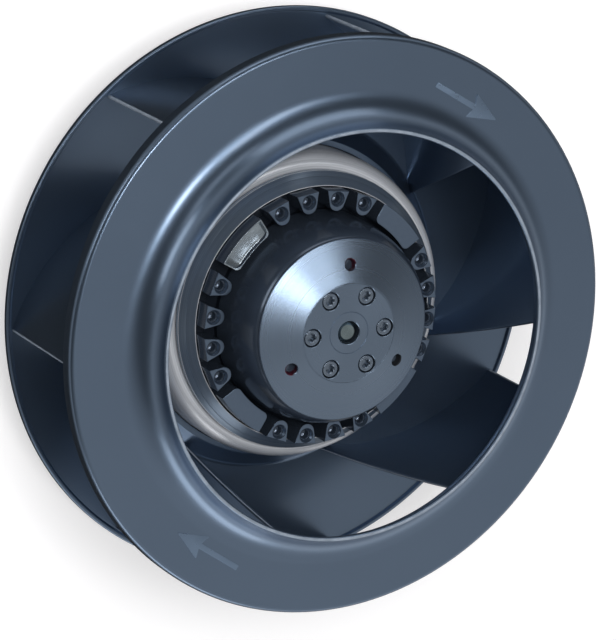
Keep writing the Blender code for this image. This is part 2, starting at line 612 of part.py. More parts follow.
def rotor_bell(finish, parent):
    cone_z = BELL_FACE_Z - BELL_CONE_DROP
    skirt_inner = BELL_RIM_RADIUS - BELL_WALL
    face_bore = SHAFT_FRONT_RADIUS + FACE_BORE_GAP
    profile = [
        (skirt_inner, BELL_Z),
        (BELL_RIM_RADIUS - BELL_RIM_CHAMFER, BELL_Z),
        (BELL_RIM_RADIUS, BELL_Z + BELL_RIM_CHAMFER),
        (BELL_RIM_RADIUS, BELL_RIM_Z),
        (BELL_TROUGH_OUTER, BELL_LEDGE_Z),
        (BELL_TROUGH_OUTER, BELL_TROUGH_Z),
        (BELL_TROUGH_INNER, BELL_TROUGH_Z),
        (BELL_FACE_RADIUS, cone_z - BELL_EDGE),
        (BELL_FACE_RADIUS - BELL_EDGE, cone_z),
        (BELL_CENTRE_RADIUS, BELL_FACE_Z),
        (face_bore, BELL_FACE_Z),
        (face_bore, BELL_INNER_Z),
        (BELL_FACE_RADIUS - BELL_WALL, BELL_INNER_Z),
        (BELL_TROUGH_INNER - BELL_WALL, BELL_TROUGH_Z - BELL_WALL),
        (skirt_inner, BELL_TROUGH_Z - BELL_WALL),
    ]
    bell = place("rotor_bell", lathe(profile, ROTOR_SEGMENTS), finish, parent)
    pads, bosses = boss_angles()
    raised = [turned(pad(), angle) for angle in pads] + [turned(boss(), angle) for angle in bosses]
    combine(bell, "UNION", "bosses", raised)
    holes = [boss_hole(angle) for angle in bosses]
    floor = BELL_FACE_Z - COUNTERBORE_DEPTH
    counterbore = [
        (0, BELL_INNER_Z - SEAT),
        (SCREW_THREAD_RADIUS + SEAT, BELL_INNER_Z - SEAT),
        (SCREW_THREAD_RADIUS + SEAT, floor),
        (COUNTERBORE_RADIUS, floor),
        (COUNTERBORE_RADIUS, BELL_FACE_Z + SEAT),
        (0, BELL_FACE_Z + SEAT),
    ]
    holes += [
        lathe(counterbore, PIN_SEGMENTS, on_circle(FACE_SCREW_CIRCLE, a)) for a in spaced(FACE_SCREW_COUNT)
    ]
    slope = BELL_CONE_DROP / (BELL_FACE_RADIUS - BELL_CENTRE_RADIUS)
    tapped_end = BELL_FACE_Z - slope * (TAPPED_HOLE_CIRCLE - BELL_CENTRE_RADIUS) - TAPPED_HOLE_DEPTH
    holes += [
        cylinder(TAPPED_HOLE_RADIUS, tapped_end, BELL_FACE_Z + SEAT, on_circle(TAPPED_HOLE_CIRCLE, a))
        for a in spaced(TAPPED_HOLE_COUNT, TAPPED_HOLE_ANGLE)
    ]
    combine(bell, "DIFFERENCE", "holes", holes)


def socket_screw(head_z, length, towards, at, turn):
    """A socket head cap screw seated at head_z. `towards` is -1 with its head in front, 1 behind."""
    shank = SCREW_THREAD_RADIUS - SEAT
    head_end = head_z - towards * SCREW_HEAD_HEIGHT
    tip = head_z + towards * length
    profile = [
        (0, tip),
        (shank, tip),
        (shank, head_z),
        (SCREW_HEAD_RADIUS, head_z),
        (SCREW_HEAD_RADIUS, head_end + towards * SCREW_HEAD_CHAMFER),
        (SCREW_HEAD_RADIUS - SCREW_HEAD_CHAMFER, head_end),
        (SOCKET_RADIUS, head_end),
        (SOCKET_RADIUS, head_end + towards * SOCKET_DEPTH),
        (0, head_end + towards * SOCKET_DEPTH),
    ]
    screw = turned(lathe(profile, HOLE_SEGMENTS), turn)
    bmesh.ops.translate(screw, verts=screw.verts, vec=(at[0], at[1], 0))
    return screw


def screws(finish, parent):
    seat = BELL_FACE_Z - COUNTERBORE_DEPTH + SEAT
    for i, angle in enumerate(spaced(FACE_SCREW_COUNT)):
        at = on_circle(FACE_SCREW_CIRCLE, angle)
        screw = socket_screw(seat, FACE_SCREW_LENGTH, -1, at, angle)
        place(f"hub_screw_{i + 1}", screw, finish, parent)
    rear = END_RING_FRONT_Z - END_RING_FLANGE_THICKNESS - SEAT
    for i, angle in enumerate(spaced(IMPELLER_SCREW_COUNT)):
        at = on_circle(IMPELLER_SCREW_CIRCLE, angle)
        screw = socket_screw(rear, IMPELLER_SCREW_LENGTH, 1, at, angle)
        place(f"impeller_screw_{i + 1}", screw, finish, parent)


def shaft(finish, parent):
    groove_radius = SHAFT_JOURNAL_RADIUS - CLIP_GROOVE_DEPTH
    shoulder_radius = BEARING_BORE + SHAFT_SHOULDER
    shoulder_low = REAR_BEARING_TOP + SEAT
    shoulder_high = FRONT_BEARING_Z - SEAT
    profile = [
        (0, SHAFT_REAR_Z),
        (SHAFT_JOURNAL_RADIUS, SHAFT_REAR_Z),
        (SHAFT_JOURNAL_RADIUS, CLIP_Z - SEAT),
        (groove_radius, CLIP_Z - SEAT),
        (groove_radius, CLIP_Z + CLIP_THICKNESS + SEAT),
        (SHAFT_JOURNAL_RADIUS, CLIP_Z + CLIP_THICKNESS + SEAT),
        (SHAFT_JOURNAL_RADIUS, shoulder_low),
        (shoulder_radius, shoulder_low),
        (shoulder_radius, shoulder_high),
        (SHAFT_JOURNAL_RADIUS, shoulder_high),
        (SHAFT_JOURNAL_RADIUS, FRONT_BEARING_TOP),
        (SHAFT_FRONT_RADIUS, FRONT_BEARING_TOP),
        (SHAFT_FRONT_RADIUS, SHAFT_END_Z - SHAFT_CHAMFER),
        (SHAFT_FRONT_RADIUS - SHAFT_CHAMFER, SHAFT_END_Z),
        (0, SHAFT_END_Z),
    ]
    place("shaft", lathe(profile, SMALL_SEGMENTS), finish, parent)


def shaft_hub(finish, parent):
    top = BELL_INNER_Z - SEAT
    disc_z = top - HUB_THICKNESS
    neck_z = FRONT_BEARING_TOP + SEAT
    neck_radius = HUB_BORE + HUB_NECK_WALL
    disc_radius = FACE_SCREW_CIRCLE + HUB_MARGIN
    profile = [
        (HUB_BORE, neck_z),
        (neck_radius, neck_z),
        (neck_radius, disc_z),
        (disc_radius, disc_z),
        (disc_radius, top),
        (HUB_BORE, top),
    ]
    hub = place("shaft_hub", lathe(profile, SMALL_SEGMENTS), finish, parent)
    holes = [
        cylinder(SCREW_THREAD_RADIUS, disc_z - SEAT, top + SEAT, on_circle(FACE_SCREW_CIRCLE, a))
        for a in spaced(FACE_SCREW_COUNT)
    ]
    combine(hub, "DIFFERENCE", "screw_holes", holes)


def race_groove(land, middle, depth):
    """Profile of the groove that the balls run in, for a ring whose shoulder is at radius `land`."""
    mouth, floor = RACE_MOUTH * BALL_RADIUS, RACE_FLOOR * BALL_RADIUS
    return [
        (land, middle - mouth), (land + depth, middle - floor),
        (land + depth, middle + floor), (land, middle + mouth),
    ]


def bearing(place_name, bottom, ring_finish, cage_finish, rotor, stator):
    """A ball bearing whose rear face is at `bottom`: two grooved rings, and the balls in their cage."""
    top = bottom + BEARING_WIDTH
    middle = (bottom + top) / 2
    inner = [(BEARING_BORE, bottom), (INNER_LAND_RADIUS, bottom)]
    inner += race_groove(INNER_LAND_RADIUS, middle, -RACE_DEPTH)
    inner += [(INNER_LAND_RADIUS, top), (BEARING_BORE, top)]
    outer = [(BEARING_RADIUS, bottom), (OUTER_LAND_RADIUS, bottom)]
    outer += race_groove(OUTER_LAND_RADIUS, middle, RACE_DEPTH)
    outer += [(OUTER_LAND_RADIUS, top), (BEARING_RADIUS, top)]
    name = f"{place_name}_bearing"
    place(f"{name}_inner_ring", lathe(inner, SMALL_SEGMENTS), ring_finish, rotor)
    place(f"{name}_outer_ring", lathe(outer, SMALL_SEGMENTS), ring_finish, stator)

    pitch = (INNER_LAND_RADIUS + OUTER_LAND_RADIUS) / 2
    inside, outside = pitch - CAGE_WIDTH / 2, pitch + CAGE_WIDTH / 2
    low, high = middle - CAGE_HEIGHT / 2, middle + CAGE_HEIGHT / 2
    band = [(inside, low), (outside, low), (outside, high), (inside, high)]
    turning = empty(f"{name}_cage_axis")
    cage = place(f"{name}_cage", lathe(band, 2 * BALL_COUNT), cage_finish, turning)
    balls = []
    for angle in spaced(BALL_COUNT):
        ball = bmesh.new()
        bmesh.ops.create_uvsphere(ball, u_segments=8, v_segments=4, radius=BALL_RADIUS)
        x, y = on_circle(pitch, angle)
        bmesh.ops.translate(ball, verts=ball.verts, vec=(x, y, middle))
        balls.append(ball)
    combine(cage, "UNION", "balls", balls)


def shaft_clip(finish, parent):
    inner = SHAFT_JOURNAL_RADIUS - CLIP_GROOVE_DEPTH + SEAT
    outline = sector(inner, CLIP_RADIUS, FULL_TURN - CLIP_GAP, PIN_SEGMENTS)
    clip = turned(prism(outline, CLIP_Z, CLIP_Z + CLIP_THICKNESS), math.pi)
    place("shaft_clip", clip, finish, parent)


def bearing_retaining_ring(finish, parent):
    bottom = FRONT_BEARING_TOP + SEAT
    outer = TUBE_BORE + RETAINER_BITE - SEAT
    outline = sector(outer - RETAINER_WIDTH, outer, RETAINER_SWEEP, SMALL_SEGMENTS)
    ring = prism(outline, bottom, bottom + RETAINER_THICKNESS)
    place("bearing_retaining_ring", ring, finish, parent)


def preload_spring(finish, parent):
    """A wave washer behind the rear bearing's outer ring."""
    outer = BEARING_RADIUS - SEAT
    inner = outer - SPRING_WIDTH
    bm = bmesh.new()
    loops = []
    for angle in spaced(8 * SPRING_WAVES):
        lift = SPRING_SEAT_Z + SEAT + SPRING_WAVE * (1 + math.cos(SPRING_WAVES * angle))
        top = lift + SPRING_THICKNESS
        ring = [(inner, lift), (outer, lift), (outer, top), (inner, top)]
        loops.append([bm.verts.new((*on_circle(radius, angle), height)) for radius, height in ring])
    for near, far in zip(loops, loops[1:] + loops[:1]):
        for k in range(4):
            following = (k + 1) % 4
            bm.faces.new((near[k], near[following], far[following], far[k]))
    place("preload_spring", bm, finish, parent)


def stator_flange(finish, parent):
    tube_stop = TUBE_BORE - TUBE_STOP
    retainer_groove = TUBE_BORE + RETAINER_BITE
    recess_radius = FLANGE_RADIUS - FLANGE_LAND
    pocket_radius = CLIP_RADIUS + POCKET_GAP
    profile = [
        (0, FLANGE_RECESS_DEPTH),
        (recess_radius, FLANGE_RECESS_DEPTH),
        (recess_radius, 0),
        (FLANGE_RADIUS - FLANGE_EDGE, 0),
        (FLANGE_RADIUS, FLANGE_EDGE),
        (FLANGE_RADIUS, LABYRINTH_TOP_Z),
        (LABYRINTH_RADIUS, LABYRINTH_TOP_Z),
        (LABYRINTH_RADIUS, FLANGE_THICKNESS),
        (TUBE_RADIUS, FLANGE_THICKNESS),
        (TUBE_RADIUS, TUBE_TOP_Z),
        (TUBE_BORE, TUBE_TOP_Z),
        (TUBE_BORE, RETAINER_GROOVE_TOP),
        (retainer_groove, RETAINER_GROOVE_TOP),
        (retainer_groove, FRONT_BEARING_TOP),
        (TUBE_BORE, FRONT_BEARING_TOP),
        (TUBE_BORE, FRONT_BEARING_Z - SEAT),
        (tube_stop, FRONT_BEARING_Z - SEAT),
        (tube_stop, REAR_BEARING_TOP + SEAT),
        (TUBE_BORE, REAR_BEARING_TOP + SEAT),
        (TUBE_BORE, SPRING_SEAT_Z),
        (pocket_radius, SPRING_SEAT_Z),
        (pocket_radius, POCKET_Z),
        (0, POCKET_Z),
    ]
    flange = place("stator_flange", lathe(profile, FLANGE_SEGMENTS), finish, parent)
    holes = [
        cylinder(MOUNT_HOLE_RADIUS, -SEAT, FLANGE_THICKNESS + SEAT, on_circle(MOUNT_HOLE_CIRCLE, a))
        for a in spaced(MOUNT_HOLE_COUNT, math.pi / 4)
    ]
    recess = GROMMET_COLLAR_HEIGHT + 2 * SEAT
    entry = [
        (0, -SEAT),
        (GROMMET_COLLAR_RADIUS + SEAT, -SEAT),
        (GROMMET_COLLAR_RADIUS + SEAT, recess),
        (GROMMET_HOLE_RADIUS, recess),
        (GROMMET_HOLE_RADIUS, FLANGE_THICKNESS + SEAT),
        (0, FLANGE_THICKNESS + SEAT),
    ]
    holes.append(lathe(entry, PIN_SEGMENTS, (GROMMET_CIRCLE, 0)))
    combine(flange, "DIFFERENCE", "holes", holes)


def cable_grommet(finish, parent):
    body = GROMMET_HOLE_RADIUS - SEAT
    low = SEAT
    bore = body - GROMMET_WALL
    groove_low = low + GROMMET_COLLAR_HEIGHT
    groove_high = FLANGE_THICKNESS + SEAT
    top = groove_high + GROMMET_COLLAR_HEIGHT
    profile = [
        (bore, low), (GROMMET_COLLAR_RADIUS, low), (GROMMET_COLLAR_RADIUS, groove_low),
        (body, groove_low), (body, groove_high), (GROMMET_COLLAR_RADIUS, groove_high),
        (GROMMET_COLLAR_RADIUS - SEAT, top), (bore, top),
    ]
    place("cable_grommet", lathe(profile, PIN_SEGMENTS, (GROMMET_CIRCLE, 0)), finish, parent)


def stator_core(finish, parent):
    profile = [
        (STACK_BORE, STACK_Z), (STACK_RADIUS, STACK_Z),
        (STACK_RADIUS, STACK_TOP_Z), (STACK_BORE, STACK_TOP_Z),
    ]
    core = place("stator_core", lathe(profile, ROTOR_SEGMENTS), finish, parent)
    wide, mouth = SLOT_WIDTH / 2, SLOT_MOUTH / 2
    narrow = wide / 2
    slot = [
        (SLOT_INNER_RADIUS, -narrow), (SLOT_OUTER_RADIUS, -wide), (SLOT_OUTER_RADIUS, -mouth),
        (STACK_RADIUS + SEAT, -mouth), (STACK_RADIUS + SEAT, mouth),
        (SLOT_OUTER_RADIUS, mouth), (SLOT_OUTER_RADIUS, wide), (SLOT_INNER_RADIUS, narrow),
    ]
    slots = [turned(prism(slot, STACK_Z - SEAT, STACK_TOP_Z + SEAT), a) for a in spaced(SLOT_COUNT)]
    combine(core, "DIFFERENCE", "slots", slots)


def winding(name, bottom, finish, parent):
    top = bottom + WINDING_HEIGHT
    bulge = WINDING_HEIGHT / 3
    profile = [
        (WINDING_INNER + bulge / 2, bottom), (WINDING_OUTER - bulge / 2, bottom),
        (WINDING_OUTER, bottom + bulge), (WINDING_OUTER - bulge / 2, top - bulge / 2),
        (WINDING_OUTER - 2 * bulge, top), (WINDING_INNER + 2 * bulge, top),
        (WINDING_INNER, top - bulge), (WINDING_INNER, bottom + bulge),
    ]
    place(name, lathe(profile, SMALL_SEGMENTS), finish, parent)


def build():
    clear_scene()
    painted = material("painted_steel", (0.055, 0.075, 0.105), 0.38, 0.3)
    cast = material("cast_aluminium", (0.10, 0.12, 0.145), 0.42, 0.6)
    bright = material("bright_steel", (0.55, 0.55, 0.54), 0.3, 1.0)
    screw = material("screw_steel", (0.12, 0.13, 0.15), 0.35, 0.9)
    ground = material("ground_steel", (0.35, 0.37, 0.4), 0.28, 1.0)
    laminated = material("laminated_steel", (0.3, 0.3, 0.31), 0.5, 0.9)
    bare_cast = material("bare_aluminium", (0.5, 0.51, 0.53), 0.45, 1.0)
    varnished = material("varnished_winding", (0.28, 0.05, 0.03), 0.4, 0.0)
    rubber = material("rubber", (0.02, 0.02, 0.022), 0.7, 0.0)
    polymer = material("cage_polymer", (0.16, 0.2, 0.12), 0.5, 0.0)

    impeller = empty("impeller_axis")
    stator = empty("stator_axis")
    front_shroud(painted, impeller)
    back_plate(painted, impeller)
    blades(painted, impeller)
    rotor_bell(cast, impeller)
    rotor_core(bright, impeller)
    rotor_end_ring(bare_cast, impeller)
    shaft_hub(ground, impeller)
    shaft(ground, impeller)
    screws(screw, impeller)
    shaft_clip(screw, impeller)
    bearing("front", FRONT_BEARING_Z, ground, polymer, impeller, stator)
    bearing("rear", REAR_BEARING_Z, ground, polymer, impeller, stator)
    bearing_retaining_ring(screw, stator)
    preload_spring(ground, stator)
    stator_flange(bare_cast, stator)
    cable_grommet(rubber, stator)
    stator_core(laminated, stator)
    winding("front_winding", STACK_TOP_Z + SEAT, varnished, stator)
    winding("rear_winding", STACK_Z - SEAT - WINDING_HEIGHT, varnished, stator)


build()
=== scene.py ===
"""The looks of the centrifugal fan: fine meshes, finishes, light and camera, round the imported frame.

The fan axis is +Z and points out of the inlet, and lengths are in metres.
"""

import math

import bmesh
import bpy
from mathutils import Matrix, Vector


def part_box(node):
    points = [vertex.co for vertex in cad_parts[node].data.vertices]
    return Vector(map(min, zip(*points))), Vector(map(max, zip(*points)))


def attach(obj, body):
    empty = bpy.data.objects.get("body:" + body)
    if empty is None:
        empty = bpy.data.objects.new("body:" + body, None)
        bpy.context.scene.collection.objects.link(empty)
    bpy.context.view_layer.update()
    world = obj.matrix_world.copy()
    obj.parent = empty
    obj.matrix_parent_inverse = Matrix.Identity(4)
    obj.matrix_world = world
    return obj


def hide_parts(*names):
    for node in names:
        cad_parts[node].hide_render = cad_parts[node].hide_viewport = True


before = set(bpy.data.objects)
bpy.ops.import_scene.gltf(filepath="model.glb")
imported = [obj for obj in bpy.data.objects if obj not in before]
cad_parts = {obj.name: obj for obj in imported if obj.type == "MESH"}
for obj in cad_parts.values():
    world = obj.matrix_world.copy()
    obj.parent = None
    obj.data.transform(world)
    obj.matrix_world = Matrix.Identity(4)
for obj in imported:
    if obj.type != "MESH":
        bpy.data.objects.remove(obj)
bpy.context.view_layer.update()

MM = 0.001
FULL_TURN = 2 * math.pi
ROTOR = "impeller"
STATOR = "stator"

# Facets of the fine round pieces
WHEEL_SEGMENTS = 240
MOTOR_SEGMENTS = 180
SMALL_SEGMENTS = 64
SCREW_SEGMENTS = 48
DRILL_SEGMENTS = 40
CORNER_STEPS = 4
SHARP = math.radians(32)    # edges that turn by more than this stay sharp

# Sizes read from the frame
WHEEL_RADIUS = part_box("front_shroud")[1].x
SKIRT_Z, LIP_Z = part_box("front_shroud")[0].z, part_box("front_shroud")[1].z
PLATE_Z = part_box("back_plate")[0].z
COLLAR_TOP_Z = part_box("back_plate")[1].z
CORE_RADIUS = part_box("rotor_core")[1].x
CORE_TOP_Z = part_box("rotor_core")[1].z
BELL_Z, FACE_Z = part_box("rotor_bell")[0].z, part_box("rotor_bell")[1].z
BELL_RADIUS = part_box("rotor_bell")[1].x
END_RING_Z, END_RING_TOP_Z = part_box("rotor_end_ring")[0].z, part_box("rotor_end_ring")[1].z
END_RING_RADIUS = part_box("rotor_end_ring")[1].x
SHAFT_END_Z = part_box("shaft")[1].z
FLANGE_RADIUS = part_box("stator_flange")[1].x
FLANGE_TUBE_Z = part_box("stator_flange")[1].z

# Shroud
WALL = 2 * MM
SHROUD_CORNER = 2.5 * MM
CONE_RISE = 0.6 * MM
RING_WIDTH = 21.5 * MM
THROAT_CURVE = 14.9 * MM
LIP_HEIGHT = 13 * MM
FLAT_Z = LIP_Z - LIP_HEIGHT
THROAT_RADIUS = WHEEL_RADIUS - RING_WIDTH
THROAT_CENTRE_Z = FLAT_Z + THROAT_CURVE
LIP_BASE_Z = LIP_Z - WALL / 2

# Back plate
PLATE_THICKNESS = 2 * MM
RIM_WIDTH = 2.2 * MM
RIM_RISE = 1.2 * MM
COLLAR_WALL = 2.7 * MM
COLLAR_SPREAD = 7.5 * MM
SEAT = 0.3 * MM

# Blades
BLADE_COUNT = 7
BLADE_THICKNESS = 1.6 * MM
BLADE_FIRST_ANGLE = math.radians(26.2)
BLADE_TIP_ANGLE = math.radians(22.2)
BLADE_HUB_ANGLE = math.radians(31.1)
BLADE_HUB_GAP = 8.2 * MM
BLADE_EYE_GAP = 4.6 * MM
BLADE_TIP_RADIUS = WHEEL_RADIUS - WALL - BLADE_THICKNESS / 2 - 2 * SEAT
BLADE_HUB_RADIUS = CORE_RADIUS + SEAT + BLADE_HUB_GAP
BLADE_ROWS = 12             # from hub to shroud
BLADE_STATIONS = 36         # from leading to trailing edge, closer together near the leading one
BLADE_BUNCHING = 1.3
BLADE_EDGE_SHARES = [0.0, 0.003, 0.008, 0.012]    # of the blade's length, where its edges are rounded

# Rotor and its bearing seats
ROTOR_BORE = 53.5 * MM
RIM_SCREW_CIRCLE = 72.5 * MM
REAR_SEAT_Z, REAR_SHOULDER_Z = 8.2 * MM, 18.3 * MM
FRONT_SHOULDER_Z, FRONT_SEAT_Z = 56 * MM, 64.3 * MM
GROMMET_X = 39.5 * MM

# Bell. As in the photograph, its rim is lower and its ledge steeper than the solids'.
RIM_FOOT_Z = BELL_Z + 1.5 * MM
BELL_RIM_TOP = BELL_Z + 3 * MM
LEDGE_Z = BELL_RIM_TOP + 6 * MM
TROUGH_Z = BELL_Z + 4.5 * MM
TROUGH_OUTER = 55.3 * MM
RIM_SEAT_RADIUS = TROUGH_OUTER + 0.6 * MM
TROUGH_INNER = 45.5 * MM
FACE_RADIUS = 39.4 * MM
CONE_Z = FACE_Z - 5.5 * MM
CENTRE_RADIUS = 21.7 * MM
FACE_BORE = 5 * MM
BELL_WALL = 4 * MM
FACE_WALL = 9 * MM
BOSS_TOP_Z = BELL_Z + 16.7 * MM
BOSS_OUTER = 55 * MM
BOSS_DEPTH = 8.6 * MM
BOSS_WIDTH = 10.2 * MM
BOSS_TAPER = math.radians(16)
BOSS_HOLE_CIRCLE = 51.5 * MM
BOSS_HOLE_RADIUS = 1.9 * MM
BOSS_SINK_RADIUS = 3.3 * MM
BOSS_PITCH = math.radians(15)
PAD_ANGLES = [math.radians(44.2 + 90 * i) for i in range(4)]
PAD_SWEEP = math.radians(25.6)
PAD_INNER = 46.4 * MM
PAD_CORNER = 2.5 * MM
SCREW_CIRCLE = 17 * MM
COUNTERBORE = 4 * MM
COUNTERBORE_DEPTH = 4.8 * MM
SCREW_HEAD_HEIGHT = 4 * MM
TAPPED_CIRCLE = 28.8 * MM
TAPPED_RADIUS = 2.5 * MM
TAPPED_DEPTH = 6 * MM
TAPPED_ANGLES = [math.radians(86.4 + 120 * i) for i in range(3)]


def on_circle(radius, angle):
    return (radius * math.cos(angle), radius * math.sin(angle))


def spaced(count, first=0.0):
    return [first + FULL_TURN * i / count for i in range(count)]


def arc(centre, radius, start, end, steps):
    angles = [start + (end - start) * i / steps for i in range(steps + 1)]
    return [(centre[0] + radius * math.cos(a), centre[1] + radius * math.sin(a)) for a in angles]


def rounded(corners):
    """The outline with an arc in place of each corner (x, y, fillet). Corners (x, y) stay sharp."""
    points = []
    for i, corner in enumerate(corners):
        here = Vector(corner[:2])
        fillet = corner[2] if len(corner) > 2 else 0
        before = Vector(corners[i - 1][:2]) - here
        after = Vector(corners[(i + 1) % len(corners)][:2]) - here
        if not fillet:
            points.append(tuple(here))
            continue
        half = before.angle(after) / 2
        reach = min(fillet / math.tan(half), 0.49 * before.length, 0.49 * after.length)
        radius = reach * math.tan(half)
        inward = (before.normalized() + after.normalized()).normalized()
        middle = here + inward * radius / math.sin(half)
        first = here + before.normalized() * reach - middle
        last = here + after.normalized() * reach - middle
        turn = first.angle_signed(last)
        for k in range(CORNER_STEPS + 1):
            spin = Matrix.Rotation(-turn * k / CORNER_STEPS, 2)
            points.append(tuple(middle + spin @ first))
    return points


def lathe(profile, segments, at=(0.0, 0.0)):
    """A solid of revolution about the upright line through `at`. The profile ends on the axis, or closes."""
    bm = bmesh.new()
    corners = [bm.verts.new((radius, 0.0, height)) for radius, height in profile]
    edges = [bm.edges.new(pair) for pair in zip(corners, corners[1:])]
    if profile[0][0] > 0 or profile[-1][0] > 0:
        edges.append(bm.edges.new((corners[-1], corners[0])))
    bmesh.ops.spin(bm, geom=corners + edges, cent=(0, 0, 0), axis=(0, 0, 1),
                   angle=FULL_TURN, steps=segments, use_merge=True)
    bmesh.ops.remove_doubles(bm, verts=bm.verts, dist=1e-6)
    bmesh.ops.recalc_face_normals(bm, faces=bm.faces)
    bmesh.ops.translate(bm, verts=bm.verts, vec=(at[0], at[1], 0))
    return bm


def prism(outline, bottom, top, bevel=0.0):
    """An upright prism, with its top edge rounded by the given width."""
    bm = bmesh.new()
    face = bm.faces.new([bm.verts.new((x, y, bottom)) for x, y in outline])
    raised = bmesh.ops.extrude_face_region(bm, geom=[face])["geom"]
    lifted = [item for item in raised if isinstance(item, bmesh.types.BMVert)]
    bmesh.ops.translate(bm, verts=lifted, vec=(0, 0, top - bottom))
    bmesh.ops.recalc_face_normals(bm, faces=bm.faces)
    if bevel:
        rim = [e for e in bm.edges if all(v in lifted for v in e.verts)]
        bmesh.ops.bevel(bm, geom=rim, offset=bevel, segments=3, profile=0.5, affect="EDGES")
    return bm


def turned(bm, angle):
    bmesh.ops.rotate(bm, verts=bm.verts, cent=(0, 0, 0), matrix=Matrix.Rotation(angle, 3, "Z"))
    return bm


def merged(solids):
    """One bmesh with all the given solids in it, and the given ones freed."""
    whole = bmesh.new()
    for solid in solids:
        carrier = bpy.data.meshes.new("carrier")
        solid.to_mesh(carrier)
        solid.free()
        whole.from_mesh(carrier)
        bpy.data.meshes.remove(carrier)
    return whole


def place(name, bm, finish=None, sharp=SHARP):
    """A linked object from the bmesh, smooth except at edges sharper than the given angle."""
    mesh = bpy.data.meshes.new(name)
    bm.to_mesh(mesh)
    bm.free()
    thing = bpy.data.objects.new(name, mesh)
    bpy.context.scene.collection.objects.link(thing)
    if finish:
        mesh.materials.append(finish)
    shade(thing, sharp)
    return thing


def shade(thing, sharp):
    thing.data.shade_smooth()
    thing.data.set_sharp_from_angle(angle=sharp)


def weigh_normals(thing):
    """Keeps flat faces flat beside their rounded corners."""
    step = thing.modifiers.new("weighted_normals", "WEIGHTED_NORMAL")
    step.keep_sharp = True
    step.weight = 80


def carve(thing, cutters, sharp=SHARP):
    """Cuts the closed solids from the object and keeps the result as its mesh."""
    tool = place("cutter", merged(cutters))
    step = thing.modifiers.new("cut", "BOOLEAN")
    step.operation = "DIFFERENCE"
    step.solver = "EXACT"
    step.object = tool
    graph = bpy.context.evaluated_depsgraph_get()
    result = bpy.data.meshes.new_from_object(thing.evaluated_get(graph))
    thing.modifiers.remove(step)
    old = thing.data
    thing.data = result
    result.name = thing.name
    bpy.data.meshes.remove(old)
    bpy.data.objects.remove(tool, do_unlink=True)
    shade(thing, sharp)


def refinish(thing, finish, chosen):
    """Gives a second finish to the faces that the test picks."""
    slot = len(thing.data.materials)
    thing.data.materials.append(finish)
    for face in thing.data.polygons:
        if chosen(face):
            face.material_index = slot


def fit(thing, body, slot, *nodes):
    """The object rides on a body and stands for these CAD nodes, which it hides. The slot argument is not used.
    """
    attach(thing, body)
    if nodes:
        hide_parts(*nodes)


# Finishes


